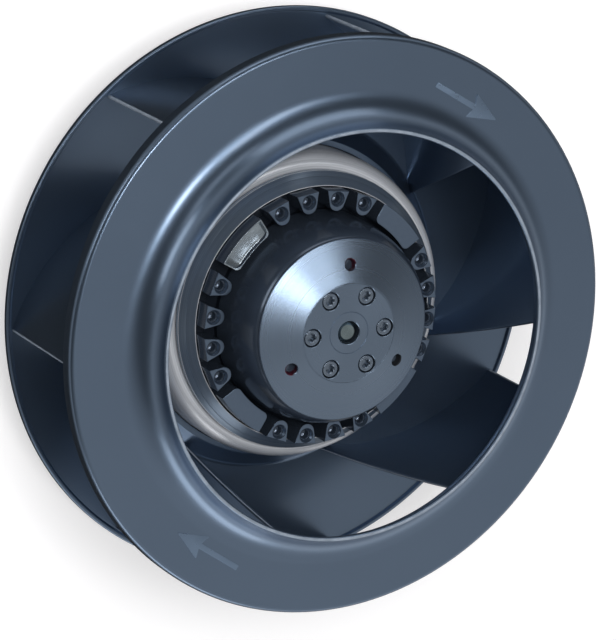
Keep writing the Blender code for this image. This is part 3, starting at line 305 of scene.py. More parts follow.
class Finish:
    """A Principled material whose colour, roughness and bump come from a few nodes."""

    def __init__(self, name, colour, roughness, metallic, specular=0.5, coat=0.0, anisotropy=0.0):
        self.material = bpy.data.materials.new(name)
        self.material.use_nodes = True
        self.tree = self.material.node_tree
        self.shader = self.tree.nodes["Principled BSDF"]
        self.set("Base Color", (*colour, 1.0))
        self.set("Roughness", roughness)
        self.set("Metallic", metallic)
        self.set("Specular IOR Level", specular)
        self.set("Coat Weight", coat)
        self.set("Coat Roughness", 0.12)
        self.set("Anisotropic", anisotropy)
        self.material.diffuse_color = (*colour, 1.0)
        self.colour, self.roughness = colour, roughness
        self.height = None

    def set(self, socket, value):
        self.shader.inputs[socket].default_value = value

    def node(self, kind, **values):
        made = self.tree.nodes.new(kind)
        for key, value in values.items():
            if key in made.inputs:
                made.inputs[key].default_value = value
            else:
                setattr(made, key, value)
        return made

    def link(self, source, target):
        self.tree.links.new(source, target)

    def place_of(self, squeeze=(1, 1, 1)):
        where = self.node("ShaderNodeTexCoord").outputs["Object"]
        scaled = self.node("ShaderNodeMapping")
        scaled.inputs["Scale"].default_value = squeeze
        self.link(where, scaled.inputs["Vector"])
        return scaled.outputs["Vector"]

    def noise(self, size, detail=3.0, squeeze=(1, 1, 1)):
        """Noise whose grain is `size` metres across."""
        made = self.node("ShaderNodeTexNoise", Scale=1 / size, Detail=detail)
        self.link(self.place_of(squeeze), made.inputs["Vector"])
        return made.outputs["Fac"]

    def rings(self, pitch):
        """A value that changes with height and distance from the fan axis, like a lathe tool's marks."""
        split = self.node("ShaderNodeSeparateXYZ")
        self.link(self.place_of(), split.inputs["Vector"])
        flat = self.node("ShaderNodeCombineXYZ")
        self.link(split.outputs["X"], flat.inputs["X"])
        self.link(split.outputs["Y"], flat.inputs["Y"])
        length = self.node("ShaderNodeVectorMath", operation="LENGTH")
        self.link(flat.outputs["Vector"], length.inputs[0])
        spot = self.node("ShaderNodeCombineXYZ")
        self.link(length.outputs["Value"], spot.inputs["X"])
        self.link(split.outputs["Z"], spot.inputs["Y"])
        made = self.node("ShaderNodeTexNoise", Scale=1 / pitch, Detail=2.0)
        self.link(spot.outputs["Vector"], made.inputs["Vector"])
        return made.outputs["Fac"]

    def spread(self, source, low, high):
        made = self.node("ShaderNodeMapRange")
        made.inputs["From Min"].default_value = 0.3
        made.inputs["From Max"].default_value = 0.7
        made.inputs["To Min"].default_value = low
        made.inputs["To Max"].default_value = high
        self.link(source, made.inputs["Value"])
        return made.outputs["Result"]

    def vary_roughness(self, source, amount):
        self.link(self.spread(source, self.roughness - amount, self.roughness + amount),
                  self.shader.inputs["Roughness"])

    def vary_colour(self, source, other):
        mix = self.node("ShaderNodeMix", data_type="RGBA")
        mix.inputs[6].default_value = (*self.colour, 1.0)
        mix.inputs[7].default_value = (*other, 1.0)
        self.link(self.spread(source, 0.0, 1.0), mix.inputs[0])
        self.link(mix.outputs[2], self.shader.inputs["Base Color"])

    def bump(self, source, depth):
        made = self.node("ShaderNodeBump", Strength=1.0, Distance=depth)
        self.link(source, made.inputs["Height"])
        if self.height:
            self.link(self.height, made.inputs["Normal"])
        self.height = made.outputs["Normal"]
        self.link(self.height, self.shader.inputs["Normal"])

    def round_tangent(self):
        """Tangents run round the fan axis, so that turned faces shine in wedges."""
        made = self.node("ShaderNodeTangent", direction_type="RADIAL", axis="Z")
        self.link(made.outputs["Tangent"], self.shader.inputs["Tangent"])


def painted_steel():
    made = Finish("painted_steel", (0.190, 0.262, 0.370), 0.29, 0.95, coat=0.5)
    made.vary_roughness(made.noise(9 * MM), 0.01)
    made.vary_colour(made.noise(50 * MM), (0.182, 0.252, 0.357))
    made.bump(made.noise(0.8 * MM, 2.0), 0.0025 * MM)
    return made.material


def edge_highlight_paint():
    """Painted highlight: a lighter colour along edges, standing in for the light that they catch."""
    made = Finish("edge_highlight_paint", (0.36, 0.42, 0.50), 0.45, 0.45)
    made.vary_roughness(made.noise(3 * MM), 0.06)
    made.vary_colour(made.noise(5 * MM), (0.24, 0.29, 0.36))
    made.bump(made.noise(1 * MM, 2.0), 0.004 * MM)
    return made.material


def cast_bell():
    made = Finish("cast_bell", (0.078, 0.102, 0.142), 0.22, 0.72, coat=0.45)
    made.vary_roughness(made.noise(4 * MM), 0.03)
    made.vary_colour(made.noise(12 * MM), (0.064, 0.086, 0.122))
    made.bump(made.noise(1.4 * MM, 2.0), 0.008 * MM)
    return made.material


# Painted shade: a near-black colour for the trough, standing in for the shade in that recess.
def trough_painted_shade():
    made = Finish("trough_painted_shade", (0.016, 0.021, 0.030), 0.40, 0.6, coat=0.1)
    made.vary_roughness(made.noise(3 * MM), 0.05)
    made.vary_colour(made.noise(6 * MM), (0.012, 0.016, 0.024))
    made.bump(made.noise(0.8 * MM, 2.0), 0.02 * MM)
    return made.material


def machined_face():
    made = Finish("machined_face", (0.235, 0.302, 0.395), 0.26, 0.93, anisotropy=0.5)
    made.vary_roughness(made.rings(0.6 * MM), 0.02)
    made.vary_colour(made.rings(0.8 * MM), (0.227, 0.296, 0.395))
    made.bump(made.rings(0.22 * MM), 0.0015 * MM)
    made.round_tangent()
    return made.material


def turned_rim():
    made = Finish("turned_rim", (0.235, 0.295, 0.375), 0.34, 0.80, anisotropy=0.4)
    made.vary_roughness(made.rings(0.5 * MM), 0.04)
    made.vary_colour(made.rings(0.5 * MM), (0.175, 0.225, 0.295))
    made.bump(made.rings(0.25 * MM), 0.004 * MM)
    made.round_tangent()
    return made.material


# Painted highlight: a lighter colour for the floor of the pad's pocket.
def pocket_highlight_paint():
    made = Finish("pocket_highlight_paint", (0.42, 0.48, 0.53), 0.20, 0.85, coat=0.3)
    made.vary_roughness(made.noise(2 * MM), 0.05)
    made.vary_colour(made.noise(3 * MM), (0.34, 0.40, 0.45))
    made.bump(made.noise(4 * MM, 1.0), 0.03 * MM)
    return made.material


def milled_pad():
    made = Finish("milled_pad", (0.185, 0.245, 0.335), 0.30, 0.92)
    made.vary_roughness(made.noise(1 * MM), 0.015)
    made.vary_colour(made.noise(2 * MM), (0.175, 0.232, 0.32))
    made.bump(made.noise(0.6 * MM, 1.0), 0.0006 * MM)
    return made.material


# Painted shade for the inside of the tapped holes.
def hole_shade_paint():
    made = Finish("hole_shade_paint", (0.012, 0.014, 0.018), 0.6, 0.3, specular=0.2)
    made.vary_roughness(made.noise(1 * MM), 0.05)
    made.vary_colour(made.noise(1 * MM), (0.02, 0.022, 0.026))
    return made.material


# Dark red thread-lock residue, darkened further as painted shade inside the holes.
def threadlock_and_hole_shade():
    made = Finish("threadlock_and_hole_shade", (0.055, 0.005, 0.014), 0.45, 0.0, specular=0.3)
    made.vary_roughness(made.noise(1 * MM), 0.1)
    made.vary_colour(made.noise(1.5 * MM), (0.015, 0.004, 0.008))
    return made.material


def turned_steel():
    made = Finish("turned_steel", (0.74, 0.765, 0.81), 0.42, 0.6, anisotropy=0.3)
    made.vary_roughness(made.rings(0.6 * MM), 0.05)
    made.vary_colour(made.rings(0.5 * MM), (0.50, 0.52, 0.56))
    made.bump(made.rings(0.3 * MM), 0.008 * MM)
    made.round_tangent()
    return made.material


def screw_steel():
    made = Finish("screw_steel", (0.29, 0.35, 0.43), 0.26, 0.95)
    made.vary_roughness(made.noise(1.2 * MM), 0.05)
    made.vary_colour(made.noise(2.5 * MM), (0.24, 0.295, 0.37))
    made.bump(made.noise(0.4 * MM, 2.0), 0.01 * MM)
    return made.material


def ground_steel():
    made = Finish("ground_steel", (0.34, 0.42, 0.44), 0.30, 1.0, anisotropy=0.4)
    made.vary_roughness(made.rings(0.5 * MM), 0.06)
    made.vary_colour(made.noise(3 * MM), (0.29, 0.36, 0.38))
    made.bump(made.rings(0.25 * MM), 0.005 * MM)
    made.round_tangent()
    return made.material


def bare_aluminium():
    made = Finish("bare_aluminium", (0.52, 0.53, 0.55), 0.42, 1.0)
    made.vary_roughness(made.noise(6 * MM), 0.08)
    made.vary_colour(made.noise(15 * MM), (0.44, 0.45, 0.47))
    made.bump(made.noise(0.6 * MM, 4.0), 0.04 * MM)
    return made.material


def laminated_steel():
    made = Finish("laminated_steel", (0.30, 0.30, 0.31), 0.50, 0.9)
    made.vary_roughness(made.noise(3 * MM), 0.08)
    layers = made.noise(1.0 * MM, 1.0, (0.02, 0.02, 2.0))
    made.vary_colour(layers, (0.16, 0.16, 0.17))
    made.bump(layers, 0.1 * MM)
    return made.material


def varnished_winding():
    made = Finish("varnished_winding", (0.28, 0.06, 0.03), 0.35, 0.0, coat=0.6)
    made.vary_roughness(made.noise(2 * MM), 0.1)
    strands = made.rings(1.1 * MM)
    made.vary_colour(strands, (0.14, 0.03, 0.015))
    made.bump(strands, 0.3 * MM)
    return made.material


def matte_rubber():
    made = Finish("rubber", (0.02, 0.02, 0.022), 0.7, 0.0)
    made.vary_roughness(made.noise(2 * MM), 0.08)
    made.vary_colour(made.noise(5 * MM), (0.03, 0.03, 0.032))
    made.bump(made.noise(0.5 * MM), 0.02 * MM)
    return made.material


def cage_polymer():
    made = Finish("cage_polymer", (0.16, 0.20, 0.12), 0.5, 0.0)
    made.vary_roughness(made.noise(2 * MM), 0.06)
    made.vary_colour(made.noise(4 * MM), (0.13, 0.17, 0.10))
    made.bump(made.noise(0.4 * MM), 0.01 * MM)
    return made.material


def arrow_tint():
    made = Finish("arrow_tint", (0.275, 0.375, 0.520), 0.30, 0.95)
    made.vary_roughness(made.noise(3 * MM), 0.04)
    made.vary_colour(made.noise(8 * MM), (0.255, 0.350, 0.490))
    made.bump(made.noise(0.6 * MM, 2.0), 0.01 * MM)
    return made.material


def pale_floor():
    made = Finish("floor", (0.50, 0.495, 0.50), 0.75, 0.0, specular=0.1)
    made.vary_colour(made.noise(0.5), (0.48, 0.475, 0.48))
    made.set("Emission Color", (1.0, 0.995, 1.0, 1.0))
    made.set("Emission Strength", 0.55)
    return made.material


# Impeller


def throat_angle(height, radius):
    """Angle round the throat's centre at which a curve of this radius reaches the height."""
    return math.pi + math.asin((THROAT_CENTRE_Z - height) / radius)


def front_shroud(finish, edge_highlight):
    centre = (THROAT_RADIUS, THROAT_CENTRE_Z)
    inner_curve = THROAT_CURVE + WALL
    rim_z = FLAT_Z - CONE_RISE
    throat_steps = 28
    outer = arc(centre, THROAT_CURVE, 1.5 * math.pi, throat_angle(LIP_BASE_Z, THROAT_CURVE), throat_steps)
    inner = arc(centre, inner_curve, throat_angle(LIP_BASE_Z, inner_curve), 1.5 * math.pi, throat_steps)
    lip_centre = ((outer[-1][0] + inner[0][0]) / 2, LIP_BASE_Z)
    lip = arc(lip_centre, WALL / 2, math.radians(18), math.radians(162), 8)
    corner = (WHEEL_RADIUS - SHROUD_CORNER, rim_z - SHROUD_CORNER)
    wall = WHEEL_RADIUS - WALL
    edge, inner_corner, lip_highlight_band = 0.3 * MM, 1 * MM, 0.14 * MM
    profile = [(WHEEL_RADIUS - edge, SKIRT_Z), (WHEEL_RADIUS, SKIRT_Z + edge)]
    profile += arc(corner, SHROUD_CORNER, 0, math.pi / 2, 10)
    profile += outer + lip + inner
    profile += arc((wall - inner_corner, rim_z - WALL - inner_corner), inner_corner, math.pi / 2, 0, 5)
    profile += [(wall, SKIRT_Z + edge), (wall + edge, SKIRT_Z)]
    piece = place("shroud_skin", lathe(profile, WHEEL_SEGMENTS), finish)
    # The thin band on top of the lip takes the lighter edge colour: a painted highlight.
    refinish(piece, edge_highlight, lambda face: face.center.z > LIP_Z - lip_highlight_band)
    weigh_normals(piece)
    fit(piece, ROTOR, "painted_steel", "front_shroud")


def rotation_arrow(name, angle, finish):
    """A low straight arrow on the shroud's flat ring. Its middle is at `angle` and it points clockwise."""
    middle, length, shaft, head_length, head_width = 108 * MM, 34.4 * MM, 2.4 * MM, 13 * MM, 11 * MM
    sunk, raised, bevel = 0.5 * MM, 0.14 * MM, 0.05 * MM
    tip, tail = length / 2, -length / 2
    neck = tip - head_length
    barb = neck - 1.5 * MM
    outline = rounded([
        (tail, -shaft / 2, 0.2 * MM), (neck, -shaft / 2), (barb, -head_width / 2, 0.3 * MM),
        (tip, 0, 0.3 * MM), (barb, head_width / 2, 0.3 * MM), (neck, shaft / 2),
        (tail, shaft / 2, 0.2 * MM),
    ])
    share = (middle - THROAT_RADIUS) / RING_WIDTH
    surface = FLAT_Z - CONE_RISE * share
    bm = prism(outline, surface - sunk, surface + raised, bevel)
    bmesh.ops.rotate(bm, verts=bm.verts, cent=(0, 0, 0), matrix=Matrix.Rotation(-math.pi / 2, 3, "Z"))
    bmesh.ops.translate(bm, verts=bm.verts, vec=(middle, 0, 0))
    piece = place(name, turned(bm, angle), finish, math.radians(60))
    fit(piece, ROTOR, "painted_steel")


def back_plate(finish):
    front = PLATE_Z + PLATE_THICKNESS
    rim_top = front + RIM_RISE
    bore = CORE_RADIUS + SEAT
    profile = rounded([
        (bore, PLATE_Z, 0.2 * MM),
        (WHEEL_RADIUS, PLATE_Z, 0.9 * MM),
        (WHEEL_RADIUS, rim_top, 0.8 * MM),
        (WHEEL_RADIUS - RIM_WIDTH + 0.4 * MM, rim_top, 0.5 * MM),
        (WHEEL_RADIUS - RIM_WIDTH, front, 0.5 * MM),
        (bore + COLLAR_WALL + COLLAR_SPREAD, front, 2.5 * MM),
        (bore + COLLAR_WALL, COLLAR_TOP_Z, 0.6 * MM),
        (bore, COLLAR_TOP_Z, 0.3 * MM),
    ])
    piece = place("back_plate_skin", lathe(profile, WHEEL_SEGMENTS), finish)
    weigh_normals(piece)
    fit(piece, ROTOR, "painted_steel", "back_plate")


def inlet_radius():
    curve = THROAT_CURVE + WALL
    return THROAT_RADIUS + curve * math.cos(throat_angle(LIP_BASE_Z, curve))


def channel_top(radius):
    """Height of the shroud's underside at this radius."""
    if radius < THROAT_RADIUS:
        curve = THROAT_CURVE + WALL
        return THROAT_CENTRE_Z - math.sqrt(curve ** 2 - (THROAT_RADIUS - radius) ** 2)
    return FLAT_Z - WALL - CONE_RISE * (radius - THROAT_RADIUS) / RING_WIDTH


def channel_floor(radius):
    """Height of the back plate and its sloping collar at this radius."""
    slope = (COLLAR_TOP_Z - PLATE_Z - PLATE_THICKNESS) / COLLAR_SPREAD
    foot = CORE_RADIUS + SEAT + COLLAR_WALL + COLLAR_SPREAD
    return PLATE_Z + PLATE_THICKNESS + max(0.0, slope * (foot - radius))


def blade_arc():
    """Radius of the arc that the blade follows in plan, and the distance of its centre from the fan axis."""
    tip_run = BLADE_TIP_RADIUS * math.cos(BLADE_TIP_ANGLE)
    hub_run = BLADE_HUB_RADIUS * math.cos(BLADE_HUB_ANGLE)
    radius = (BLADE_TIP_RADIUS ** 2 - BLADE_HUB_RADIUS ** 2) / (2 * (tip_run - hub_run))
    return radius, math.sqrt(radius ** 2 + BLADE_TIP_RADIUS ** 2 - 2 * radius * tip_run)


def blade_section(share, rows):
    """Points round the blade, hub to shroud and back, at this share of its way to the trailing edge."""
    arc_radius, distance = blade_arc()

    def from_arc_centre(radius):
        cosine = radius ** 2 + distance ** 2 - arc_radius ** 2
        return math.acos(cosine / (2 * radius * distance))

    centre_angle = from_arc_centre(BLADE_TIP_RADIUS)
    centre = Vector(on_circle(distance, centre_angle))
    eye_radius = inlet_radius() + BLADE_EYE_GAP
    near = BLADE_HUB_RADIUS + (BLADE_TIP_RADIUS - BLADE_HUB_RADIUS) * share
    far = eye_radius + (BLADE_TIP_RADIUS - eye_radius) * share
    lap, bluntness = 0.4 * MM, 0.25
    taper = min(1.0, math.sqrt(max(0.0, min(share, 1 - share)) / BLADE_EDGE_SHARES[-1]) + bluntness)
    points = []
    for side in (-1, 1):
        column = []
        for row in rows:
            radius = near + (far - near) * row
            middle = Vector(on_circle(radius, centre_angle - from_arc_centre(radius)))
            column.append(middle + (middle - centre).normalized() * side * taper * BLADE_THICKNESS / 2)
        low = channel_floor(column[0].length) - lap
        high = channel_top(column[-1].length) + lap
        points += [(spot.x, spot.y, low + (high - low) * row) for row, spot in zip(rows, column)]
        if side < 0:
            points.reverse()
    return points


def skinned(rows):
    """A bmesh with a tube through rows of points, each row a closed ring, and the rings of its corners."""
    bm = bmesh.new()
    loops = [[bm.verts.new(point) for point in row] for row in rows]
    for near, far in zip(loops, loops[1:]):
        for k in range(len(near)):
            following = (k + 1) % len(near)
            bm.faces.new((near[k], near[following], far[following], far[k]))
    return bm, loops


def blade_mesh():
    rows = [j / BLADE_ROWS for j in range(BLADE_ROWS + 1)]
    edge = BLADE_EDGE_SHARES[-1]
    middle = [edge + (1 - 2 * edge) * (i / BLADE_STATIONS) ** BLADE_BUNCHING for i in range(1, BLADE_STATIONS)]
    shares = BLADE_EDGE_SHARES + middle + [1 - share for share in reversed(BLADE_EDGE_SHARES)]
    bm, loops = skinned([blade_section(share, rows) for share in shares])
    count = len(loops[0])
    for end in (loops[0], loops[-1]):
        for j in range(BLADE_ROWS):
            bm.faces.new((end[j], end[j + 1], end[count - j - 2], end[count - j - 1]))
    bmesh.ops.recalc_face_normals(bm, faces=bm.faces)
    return bm


def blades(finish, edge_highlight):
    """The blades. Their caps and the last two strips of faces, at the trailing edge, take a lighter colour as a
    painted highlight.
    """
    end_caps, tip_strips = 2 * BLADE_ROWS, 4 * (BLADE_ROWS + 1)
    for i, angle in enumerate(spaced(BLADE_COUNT, BLADE_FIRST_ANGLE)):
        piece = place(f"blade_skin_{i + 1}", turned(blade_mesh(), angle), finish, math.radians(50))
        first = len(piece.data.polygons) - end_caps - tip_strips
        refinish(piece, edge_highlight, lambda face: face.index >= first)
        fit(piece, ROTOR, "painted_steel", f"blade_{i + 1}")


# Rotor


def rotor_core(finish):
    """The ring behind the bell, with an elliptical front shoulder."""
    width, height, steps = 5 * MM, 9 * MM, 14
    inner, foot = CORE_RADIUS - width, CORE_TOP_Z - height
    angles = [math.pi / 2 * i / steps for i in range(steps + 1)]
    shoulder = [(inner + width * math.cos(a), foot + height * math.sin(a)) for a in angles]
    profile = [(ROTOR_BORE, PLATE_Z), (CORE_RADIUS, PLATE_Z)] + shoulder + [(ROTOR_BORE, CORE_TOP_Z)]
    piece = place("rotor_core_skin", lathe(profile, WHEEL_SEGMENTS), finish)
    weigh_normals(piece)
    fit(piece, ROTOR, "turned_steel", "rotor_core")


def rotor_end_ring(finish):
    flange_z = END_RING_TOP_Z - 4 * MM
    profile = rounded([
        (ROTOR_BORE, END_RING_Z, 0.6 * MM),
        (CORE_RADIUS, END_RING_Z, 2.4 * MM),
        (CORE_RADIUS, flange_z, 1.5 * MM),
        (END_RING_RADIUS, flange_z, 0.8 * MM),
        (END_RING_RADIUS, END_RING_TOP_Z, 0.3 * MM),
        (ROTOR_BORE, END_RING_TOP_Z, 0.3 * MM),
    ])
    piece = place("rotor_end_ring_skin", lathe(profile, MOTOR_SEGMENTS), finish)
    mill, low, high = 4.2 * MM, flange_z - 1 * MM, flange_z + 0.2 * MM
    spot_faces = [
        lathe([(0, low), (mill, low), (mill, high), (0, high)], 32, on_circle(RIM_SCREW_CIRCLE, a))
        for a in spaced(6)
    ]
    carve(piece, spot_faces)
    weigh_normals(piece)
    fit(piece, ROTOR, "bare_aluminium", "rotor_end_ring")


def bell_shell(finish, shade_paint):
    """The glossy casting: skirt, trough and a flank that curves in towards the face."""
    inner_z = FACE_Z - FACE_WALL
    skirt = BELL_RADIUS - BELL_WALL
    foot = (TROUGH_INNER, TROUGH_Z + 1.5 * MM)
    edge = (FACE_RADIUS + 0.1 * MM, CONE_Z - 0.8 * MM)
    bulge = Vector((TROUGH_INNER - 1.3 * MM, edge[1] - 4 * MM))
    steps, disc_bore = 20, 8 * MM
    flank = [
        tuple(Vector(foot) * (1 - t) ** 2 + bulge * 2 * t * (1 - t) + Vector(edge) * t ** 2)
        for t in [i / steps for i in range(steps + 1)]
    ]
    profile = rounded([
        (skirt, BELL_Z),
        (BELL_RADIUS - 0.3 * MM, BELL_Z, 0.7 * MM),
        (BELL_RADIUS - 0.3 * MM, RIM_FOOT_Z),
        (RIM_SEAT_RADIUS, RIM_FOOT_Z),
        (RIM_SEAT_RADIUS, LEDGE_Z - 1.6 * MM),
        (TROUGH_OUTER, LEDGE_Z - 0.9 * MM, 0.2 * MM),
        (TROUGH_OUTER - 0.2 * MM, TROUGH_Z, 1.2 * MM),
        (TROUGH_INNER + 0.6 * MM, TROUGH_Z, 0.9 * MM),
    ]) + flank + rounded([
        (FACE_RADIUS, CONE_Z - 0.2 * MM),
        (disc_bore, CONE_Z - 0.2 * MM),
        (disc_bore, inner_z),
        (FACE_RADIUS - BELL_WALL, inner_z, 3 * MM),
        (TROUGH_INNER - BELL_WALL, TROUGH_Z - 2 * MM, 2 * MM),
        (skirt, TROUGH_Z - 2 * MM, 1 * MM),
    ])
    piece = place("bell_casting", lathe(profile, MOTOR_SEGMENTS), finish)

    def in_trough(face):
        return face.center.z < LEDGE_Z - 0.5 * MM and face.center.xy.length < TROUGH_OUTER + 0.1 * MM

    # The trough's faces take the near-black colour: painted shade.
    refinish(piece, shade_paint, in_trough)
    weigh_normals(piece)
    fit(piece, ROTOR, "cast_bell", "rotor_bell")


def bell_rim(finish, rim_highlight_steel):
    """The turned rim: a low skirt and a steep ledge with a fine step, with thin bright rings along its two
    edges as painted highlights.
    """
    slope = (LEDGE_Z - BELL_RIM_TOP) / (BELL_RADIUS - TROUGH_OUTER)
    inward = 2.2 * MM
    step_radius, step_z = BELL_RADIUS - inward, BELL_RIM_TOP + slope * inward
    profile = rounded([
        (RIM_SEAT_RADIUS, RIM_FOOT_Z),
        (BELL_RADIUS, RIM_FOOT_Z, 0.3 * MM),
        (BELL_RADIUS, BELL_RIM_TOP, 0.4 * MM),
        (step_radius + 0.1 * MM, step_z - 0.1 * MM, 0.1 * MM),
        (step_radius - 0.1 * MM, step_z + 0.3 * MM, 0.1 * MM),
        (TROUGH_OUTER + 0.1 * MM, LEDGE_Z - 0.1 * MM, 0.3 * MM),
        (TROUGH_OUTER + 0.02 * MM, LEDGE_Z - 1 * MM),
        (RIM_SEAT_RADIUS, LEDGE_Z - 1.7 * MM),
    ])
    piece = place("bell_turned_rim", lathe(profile, WHEEL_SEGMENTS), finish, math.radians(25))
    weigh_normals(piece)
    fit(piece, ROTOR, "cast_bell", "rotor_bell")
    # Thin bright steel rings along the rim's two edges: painted highlights.
    wire, last = 0.28 * MM, FULL_TURN * 11 / 12
    lower = (BELL_RADIUS - 0.3 * MM, BELL_RIM_TOP - 0.05 * MM)
    upper = (TROUGH_OUTER + 0.25 * MM, LEDGE_Z - 0.3 * MM)
    edges = [
        lathe(arc(middle, radius, 0, last, 11), WHEEL_SEGMENTS)
        for middle, radius in ((lower, wire), (upper, wire * 0.7))
    ]
    piece = place("bell_rim_highlight_rings", merged(edges), rim_highlight_steel)
    fit(piece, ROTOR, "turned_steel", "rotor_bell")


def hole_cutter(radius, depth, surface, at, chamfer):
    """A drill with a chamfered mouth, reaching `depth` below the surface."""
    tip = surface - depth
    profile = [
        (0, tip - 0.5 * radius), (radius, tip), (radius, surface - chamfer),
        (radius + 2 * chamfer, surface + chamfer), (0, surface + chamfer),
    ]
    return lathe(profile, DRILL_SEGMENTS, at)


def tilted(bm, tilt, height, angle):
    """Leans a cutter outward by `tilt` and sets it on the tapped holes' circle."""
    bmesh.ops.rotate(bm, verts=bm.verts, cent=(0, 0, 0), matrix=Matrix.Rotation(tilt, 3, "Y"))
    bmesh.ops.translate(bm, verts=bm.verts, vec=(TAPPED_CIRCLE, 0, height))
    return turned(bm, angle)


def machined_disc(finish, shade_paint, threadlock_and_shade):
    """The bell's turned face: a flat centre with recessed screws, and a shallow cone round it."""
    slope = (FACE_Z - CONE_Z) / (FACE_RADIUS - CENTRE_RADIUS)
    groove = 0.16 * MM
    chamfer = 0.25 * MM
    profile = [(FACE_BORE, FACE_Z - FACE_WALL), (FACE_BORE, FACE_Z - chamfer), (FACE_BORE + chamfer, FACE_Z)]
    profile += ring_groove(9 * MM, FACE_Z, groove)
    profile += [(SCREW_CIRCLE - 5.4 * MM, FACE_Z), (CENTRE_RADIUS - 0.5 * MM, FACE_Z)]
    profile += [(CENTRE_RADIUS - 0.2 * MM, FACE_Z - 0.12 * MM), (CENTRE_RADIUS, FACE_Z - 0.02 * MM)]
    steps = 10
    run = FACE_RADIUS - 0.35 * MM - CENTRE_RADIUS
    profile += [
        (CENTRE_RADIUS + run * i / steps, FACE_Z - slope * run * i / steps) for i in range(1, steps + 1)
    ]
    profile += [(FACE_RADIUS, CONE_Z - 0.35 * MM), (FACE_RADIUS, CONE_Z - 1.2 * MM)]
    profile += [(FACE_RADIUS - 2 * MM, FACE_Z - FACE_WALL)]
    piece = place("bell_turned_face", lathe(profile, MOTOR_SEGMENTS), finish)
    cutters = [
        hole_cutter(COUNTERBORE, COUNTERBORE_DEPTH, FACE_Z, on_circle(SCREW_CIRCLE, a), 0.2 * MM)
        for a in spaced(6)
    ]
    tapped_z = FACE_Z - slope * (TAPPED_CIRCLE - CENTRE_RADIUS)
    cutters += [
        tilted(hole_cutter(TAPPED_RADIUS, TAPPED_DEPTH, 0, (0, 0), 0.35 * MM), math.atan(slope), tapped_z, a)
        for a in TAPPED_ANGLES
    ]
    carve(piece, cutters, math.radians(20))
    for i, angle in enumerate(TAPPED_ANGLES):
        mouth = Vector((*on_circle(TAPPED_CIRCLE, angle), tapped_z))

        def inside(face):
            """Whether the face is in this hole's mouth or bore. The cone's own long faces aren't."""
            offset = face.center - mouth
            wall = offset.z < -0.25 * MM and face.normal.z < 0.9
            return (wall or offset.z < -2.5 * MM) and offset.xy.length < TAPPED_RADIUS + 1.6 * MM

        # The holes' mouths and bores are painted dark as shade; two of them also show dark red thread-lock
        # residue.
        refinish(piece, shade_paint if i == 2 else threadlock_and_shade, inside)
    weigh_normals(piece)
    fit(piece, ROTOR, "cast_bell", "rotor_bell")


def ring_groove(radius, surface, depth):
    """A fine turned line in a flat face."""
    half = 0.12 * MM
    return [(radius - half, surface), (radius, surface - depth), (radius + half, surface)]


def boss_outline():
    """A tooth on +X: a straight outer end, tapering sides and a round nose that they touch."""
    half = BOSS_WIDTH / 2
    fall = math.sin(BOSS_TAPER)
    nose = (half * math.cos(BOSS_TAPER) - BOSS_DEPTH * fall) / (1 - fall)
    middle = (BOSS_OUTER - BOSS_DEPTH + nose, 0)
    curve = arc(middle, nose, math.pi / 2 + BOSS_TAPER, 1.5 * math.pi - BOSS_TAPER, 16)
    return [(BOSS_OUTER, -half), (BOSS_OUTER, half)] + curve


def on_boss_top(face):
    """Whether the face is on top of a boss or pad, or in a countersink. The countersinks take the lighter
    colour partly as machined metal and partly as a painted highlight.
    """
    return face.normal.z > 0.3 and face.center.z > BOSS_TOP_Z - 1.7 * MM


def bosses(finish, milled):
    """Blind-drilled bosses in four groups, each with a wide countersink."""
    foot = TROUGH_Z - 1 * MM
    for group, pad in enumerate(PAD_ANGLES):
        solids, cutters = [], []
        for step in (-1.5, -0.5, 0.5, 1.5):
            angle = pad + math.pi / 4 + step * BOSS_PITCH
            solids.append(turned(prism(boss_outline(), foot, BOSS_TOP_Z, 0.25 * MM), angle))
            cutters.append(sunk_hole(on_circle(BOSS_HOLE_CIRCLE, angle)))
        piece = place(f"bell_bosses_{group + 1}", merged(solids), finish)
        carve(piece, cutters, math.radians(25))
        refinish(piece, milled, on_boss_top)
        weigh_normals(piece)
        fit(piece, ROTOR, "cast_bell", "rotor_bell")


def sunk_hole(at):
    """A cutter for a blind hole with a drilled end, a seat for a ring and a countersink."""
    top, hole, sink = BOSS_TOP_Z, BOSS_HOLE_RADIUS, BOSS_SINK_RADIUS
    profile = rounded([
        (0, top - 5.9 * MM), (hole, top - 5 * MM), (hole, top - 1.9 * MM, 0.15 * MM),
        (hole + 0.5 * MM, top - 1.6 * MM, 0.15 * MM), (hole + 0.6 * MM, top - 1.2 * MM, 0.1 * MM),
        (sink - 0.1 * MM, top - 0.3 * MM), (sink, top + 0.3 * MM), (0, top + 0.3 * MM),
    ])
    return lathe(profile, SCREW_SEGMENTS, at)


def pad_outline():
    """Part of a ring on +X with two rounded inner corners."""
    half = PAD_SWEEP / 2
    turn = half - math.asin(PAD_CORNER / (PAD_INNER + PAD_CORNER))
    corner = arc(on_circle(PAD_INNER + PAD_CORNER, turn), PAD_CORNER, half + math.pi / 2, turn + math.pi, 8)
    shares = [i / 10 - 1 for i in range(21)]
    points = [on_circle(BOSS_OUTER, half * share) for share in shares] + corner
    points += [on_circle(PAD_INNER, -turn * share) for share in shares[1:-1]]
    return points + [(x, -y) for x, y in reversed(corner)]


def pads(finish, glossy, pocket_highlight):
    """Solid pads between the groups of bosses. The second one has a pocket with a bowed floor, in a lighter
    colour as a painted highlight.
    """
    foot = TROUGH_Z - 1 * MM

    def in_pocket(face):
        return face.center.z > BOSS_TOP_Z - 4 * MM and face.normal.z > 0.2

    for i, angle in enumerate(PAD_ANGLES):
        pocketed = i == 1
        piece = place(f"bell_pad_{i + 1}", prism(pad_outline(), foot, BOSS_TOP_Z, 0.25 * MM), glossy)
        if pocketed:
            carve(piece, [pad_pocket()], math.radians(25))
            refinish(piece, pocket_highlight, in_pocket)
        else:
            refinish(piece, finish, on_boss_top)
        for v in piece.data.vertices:
            v.co = Matrix.Rotation(angle, 3, "Z") @ v.co
        weigh_normals(piece)
        fit(piece, ROTOR, "cast_bell", "rotor_bell")


